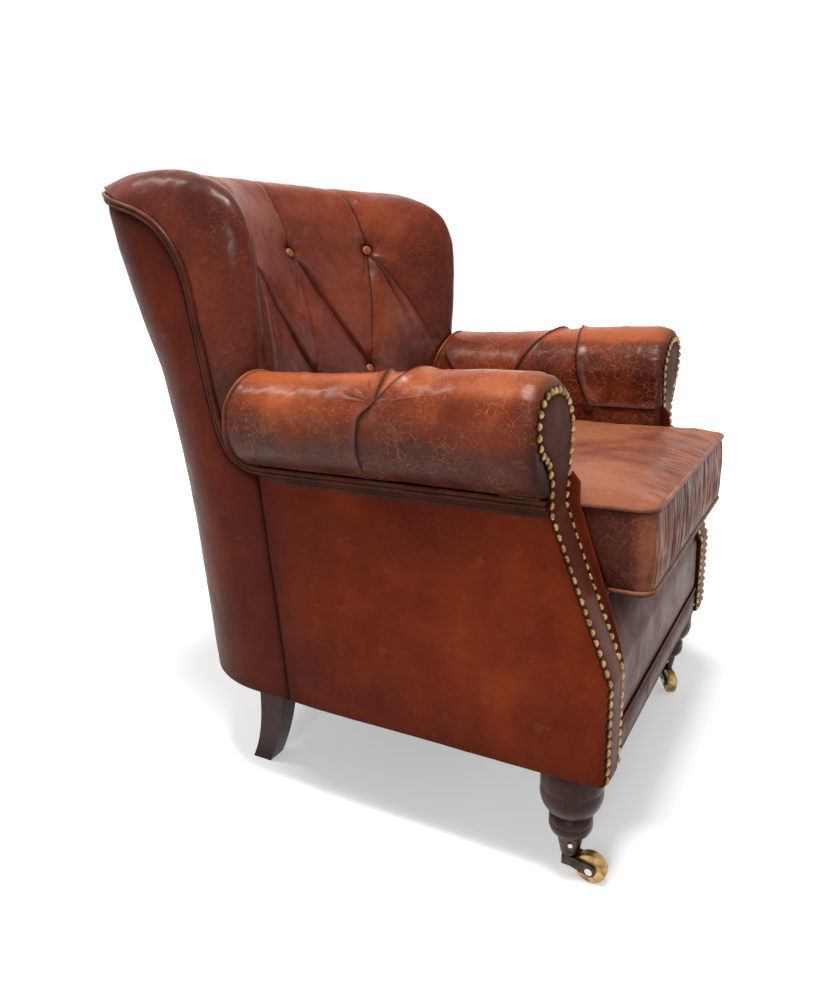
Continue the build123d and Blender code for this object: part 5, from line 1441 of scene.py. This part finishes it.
def make_cushion():
    low, high = cushion_bottom_z + 0.003, cushion_top_z - 0.003
    grid, under_rings, side_rings = cushion_base(low, high)
    ring = np.arange(len(grid))[:, None]
    top = ring >= under_rings + side_rings
    side = (ring >= under_rings) & ~top
    normals = -grid_normals(grid.transpose(1, 0, 2), closed_u=True).transpose(1, 0, 2)
    normals[top[:, 0]] = (0, 0, 1)
    y, z = grid[..., 1], grid[..., 2]
    front = smoothstep(-0.335, -0.358, y)
    height = np.clip((z - low) / (high - low), 0, 1)
    inner = np.maximum(y - cushion_front_y, 0)
    upright = grid[..., [0, 2, 1]] * (1, 0.10, 0)
    pleats = waves(upright, 51, (0.6, 150), (0.4, 320))
    pleats = np.abs(pleats) ** 0.7 * np.sign(pleats)
    gathered = 0.0022 * pleats * side * front * (0.25 + 0.75 * np.sin(math.pi * height))
    ripples = waves(grid * (1, 0.10, 0), 53, (0.6, 120), (0.4, 260))
    ripple = 0.0016 * ripples * top * np.exp(-inner / 0.085) * smoothstep(0.0, 0.012, inner)
    soft = 0.0011 * value_noise(grid * (0.25, 1, 0), 60, 55) * top * smoothstep(0, 0.02, inner)
    swell = waves(grid, 56, (0.0012, 20), (0.0005, 70)) * (top | side)
    grid = grid + normals * (gathered + ripple + soft + swell * smoothstep(0, 0.1, height))[..., None]
    # Painted shade in the front pleats' hollows and over the sides away from the front.
    shade = (np.clip(-pleats, 0, 1) * front + 1 - front) * 0.35 * side
    # Painted shade along the piping at the top and foot of the side band.
    seam_shade = (np.exp(-np.abs(z - high) / 0.004) + np.exp(-np.abs(z - low) / 0.004)) * side * 0.6
    # Painted light on the top, painted shade on the sides, and random tone.
    warm = 0.7 * top - 0.9 * side * (1 - front) + 0.3 * value_noise(grid, 10, 58)
    # Paler front pleat crests: rubbed wear and painted highlight.
    fields = {"dark": np.clip(shade + seam_shade, 0, 0.9), "warm": np.clip(warm, -1, 1),
              "rub": np.clip(pleats, 0, 1) * side * front * 0.22}
    cushion = grid_piece("seat_cushion_hide", grid, closed_v=True, fields=fields)
    weld(cushion)
    dress(cushion, "seat_cushion", "leather_cushion", finishes["cushion"], "seat_cushion")
    outward = outward_of(cushion_outline(high))
    welts = []
    for level in (low, high):
        line = cushion_outline(level) - outward * 0.0024
        line = np.column_stack([line, np.full(len(line), level)])
        welts.append(welt("cushion_welt", even(np.vstack([line, line[:1]]), 900), 0.0033))
    piping = join("cushion_welts", welts)
    dress(piping, "seat_cushion", "leather_piping", finishes["piping"], "cushion_piping")


# Floor, light and backdrop

def make_stage():
    """A pale floor that runs out to white, and a white world behind it."""
    f = Finish("floor")
    f.surface(Base_Color=(0.86, 0.86, 0.85), Roughness=0.9, Specular_IOR_Level=0.1)
    rays = f.add("ShaderNodeLightPath")
    seen = f.math("MAXIMUM", rays.outputs["Is Camera Ray"], rays.outputs["Is Glossy Ray"])
    seen = f.math("MAXIMUM", seen, rays.outputs["Is Transmission Ray"])
    away = f.add("ShaderNodeVectorMath", {"operation": "LENGTH"}, i0=f.place()).outputs["Value"]
    glow = f.ramp(f.times(away, 0.2), (0.10, 0.36), (0.42, 1.0))
    f.surface(Emission_Color=f.ramp(f.noise(f.place(), 3.0), (0.0, 1.0), (1.0, 0.99)),
              Emission_Strength=f.times(seen, glow))
    size = 14.0
    verts = [(-size, -size, 0), (size, -size, 0), (size, size, 0), (-size, size, 0)]
    floor = make_mesh("floor", verts, [(0, 1, 2, 3)])
    give(floor, f.material)
    world = bpy.data.worlds.new("world")
    bpy.context.scene.world = world
    world.use_nodes = True
    tree = world.node_tree
    light, white = tree.nodes["Background"], tree.nodes.new("ShaderNodeBackground")
    for node, colour, strength in ((light, (0.95, 0.97, 1.0, 1), 0.35), (white, (1, 1, 1, 1), 1.0)):
        node.inputs["Color"].default_value = colour
        node.inputs["Strength"].default_value = strength
    path = tree.nodes.new("ShaderNodeLightPath")
    share = path.outputs["Is Camera Ray"]
    for kind in ("Is Glossy Ray", "Is Transmission Ray"):
        node = tree.nodes.new("ShaderNodeMath")
        node.operation = "MAXIMUM"
        tree.links.new(share, node.inputs[0])
        tree.links.new(path.outputs[kind], node.inputs[1])
        share = node.outputs[0]
    mix = tree.nodes.new("ShaderNodeMixShader")
    for index, output in enumerate((share, light.outputs[0], white.outputs[0])):
        tree.links.new(output, mix.inputs[index])
    tree.links.new(mix.outputs[0], tree.nodes["World Output"].inputs[0])


def area_light(name, place, aim, size, power, colour=(1, 1, 1)):
    """A rectangular lamp that looks from its place at a point."""
    data = bpy.data.lights.new(name, "AREA")
    data.shape = "RECTANGLE"
    data.size, data.size_y = size
    data.energy = power
    data.color = colour
    lamp = bpy.data.objects.new(name, data)
    bpy.context.scene.collection.objects.link(lamp)
    lamp.location = place
    lamp.rotation_euler = (Vector(aim) - Vector(place)).to_track_quat("-Z", "Y").to_euler()


def make_lights():
    area_light("top", (-0.7, -0.3, 2.8), (0, 0, 0.4), (0.55, 0.40), 66, (1.0, 0.97, 0.93))
    area_light("rear", (-0.9, 1.5, 2.7), (-0.33, 0, 0.58), (0.22, 1.0), 26, (1.0, 0.98, 0.95))
    area_light("side", (-2.6, -0.7, 1.5), (0, 0, 0.5), (0.35, 0.60), 13, (1.0, 0.97, 0.94))
    area_light("front", (0.9, -2.6, 1.5), (0, 0, 0.4), (0.6, 0.6), 7)


# The construction's own solids that stay visible

def dress_nodes():
    pairs = {
        "leg": ("front_leg", "rear_leg"), "bronze": ("caster_cup", "caster_fork"),
        "wheel": ("caster_wheel",), "steel": ("caster_pivot", "caster_axle"),
        "timber": ("seat_side_rail", "front_post", "back_post", "wing_frame", "arm_rail"),
    }
    singles = {
        "steel": ("cup_screws", "leg_bolts", "seat_springs", "spring_clips"), "webbing": ("back_straps",),
        "lining": ("seat_platform", "dust_cover"),
        "timber": ("seat_front_rail", "seat_back_rail", "crest_rail", "back_stay_rail", "corner_blocks"),
    }
    for finish, stems in pairs.items():
        for stem in stems:
            for side in ("left", "right"):
                give(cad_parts[f"{stem}_{side}"], finishes[finish])
    for finish, names in singles.items():
        for name in names:
            give(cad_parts[name], finishes[finish])


make_camera()
make_stage()
make_lights()
dress_nodes()
make_back()
make_arms()
make_facings()
make_facing_wraps()
make_outside_arms()
make_shell()
make_welts()
make_front()
make_cushion()

bpy.context.view_layer.update()
bpy.context.scene.view_settings.view_transform = "Standard"
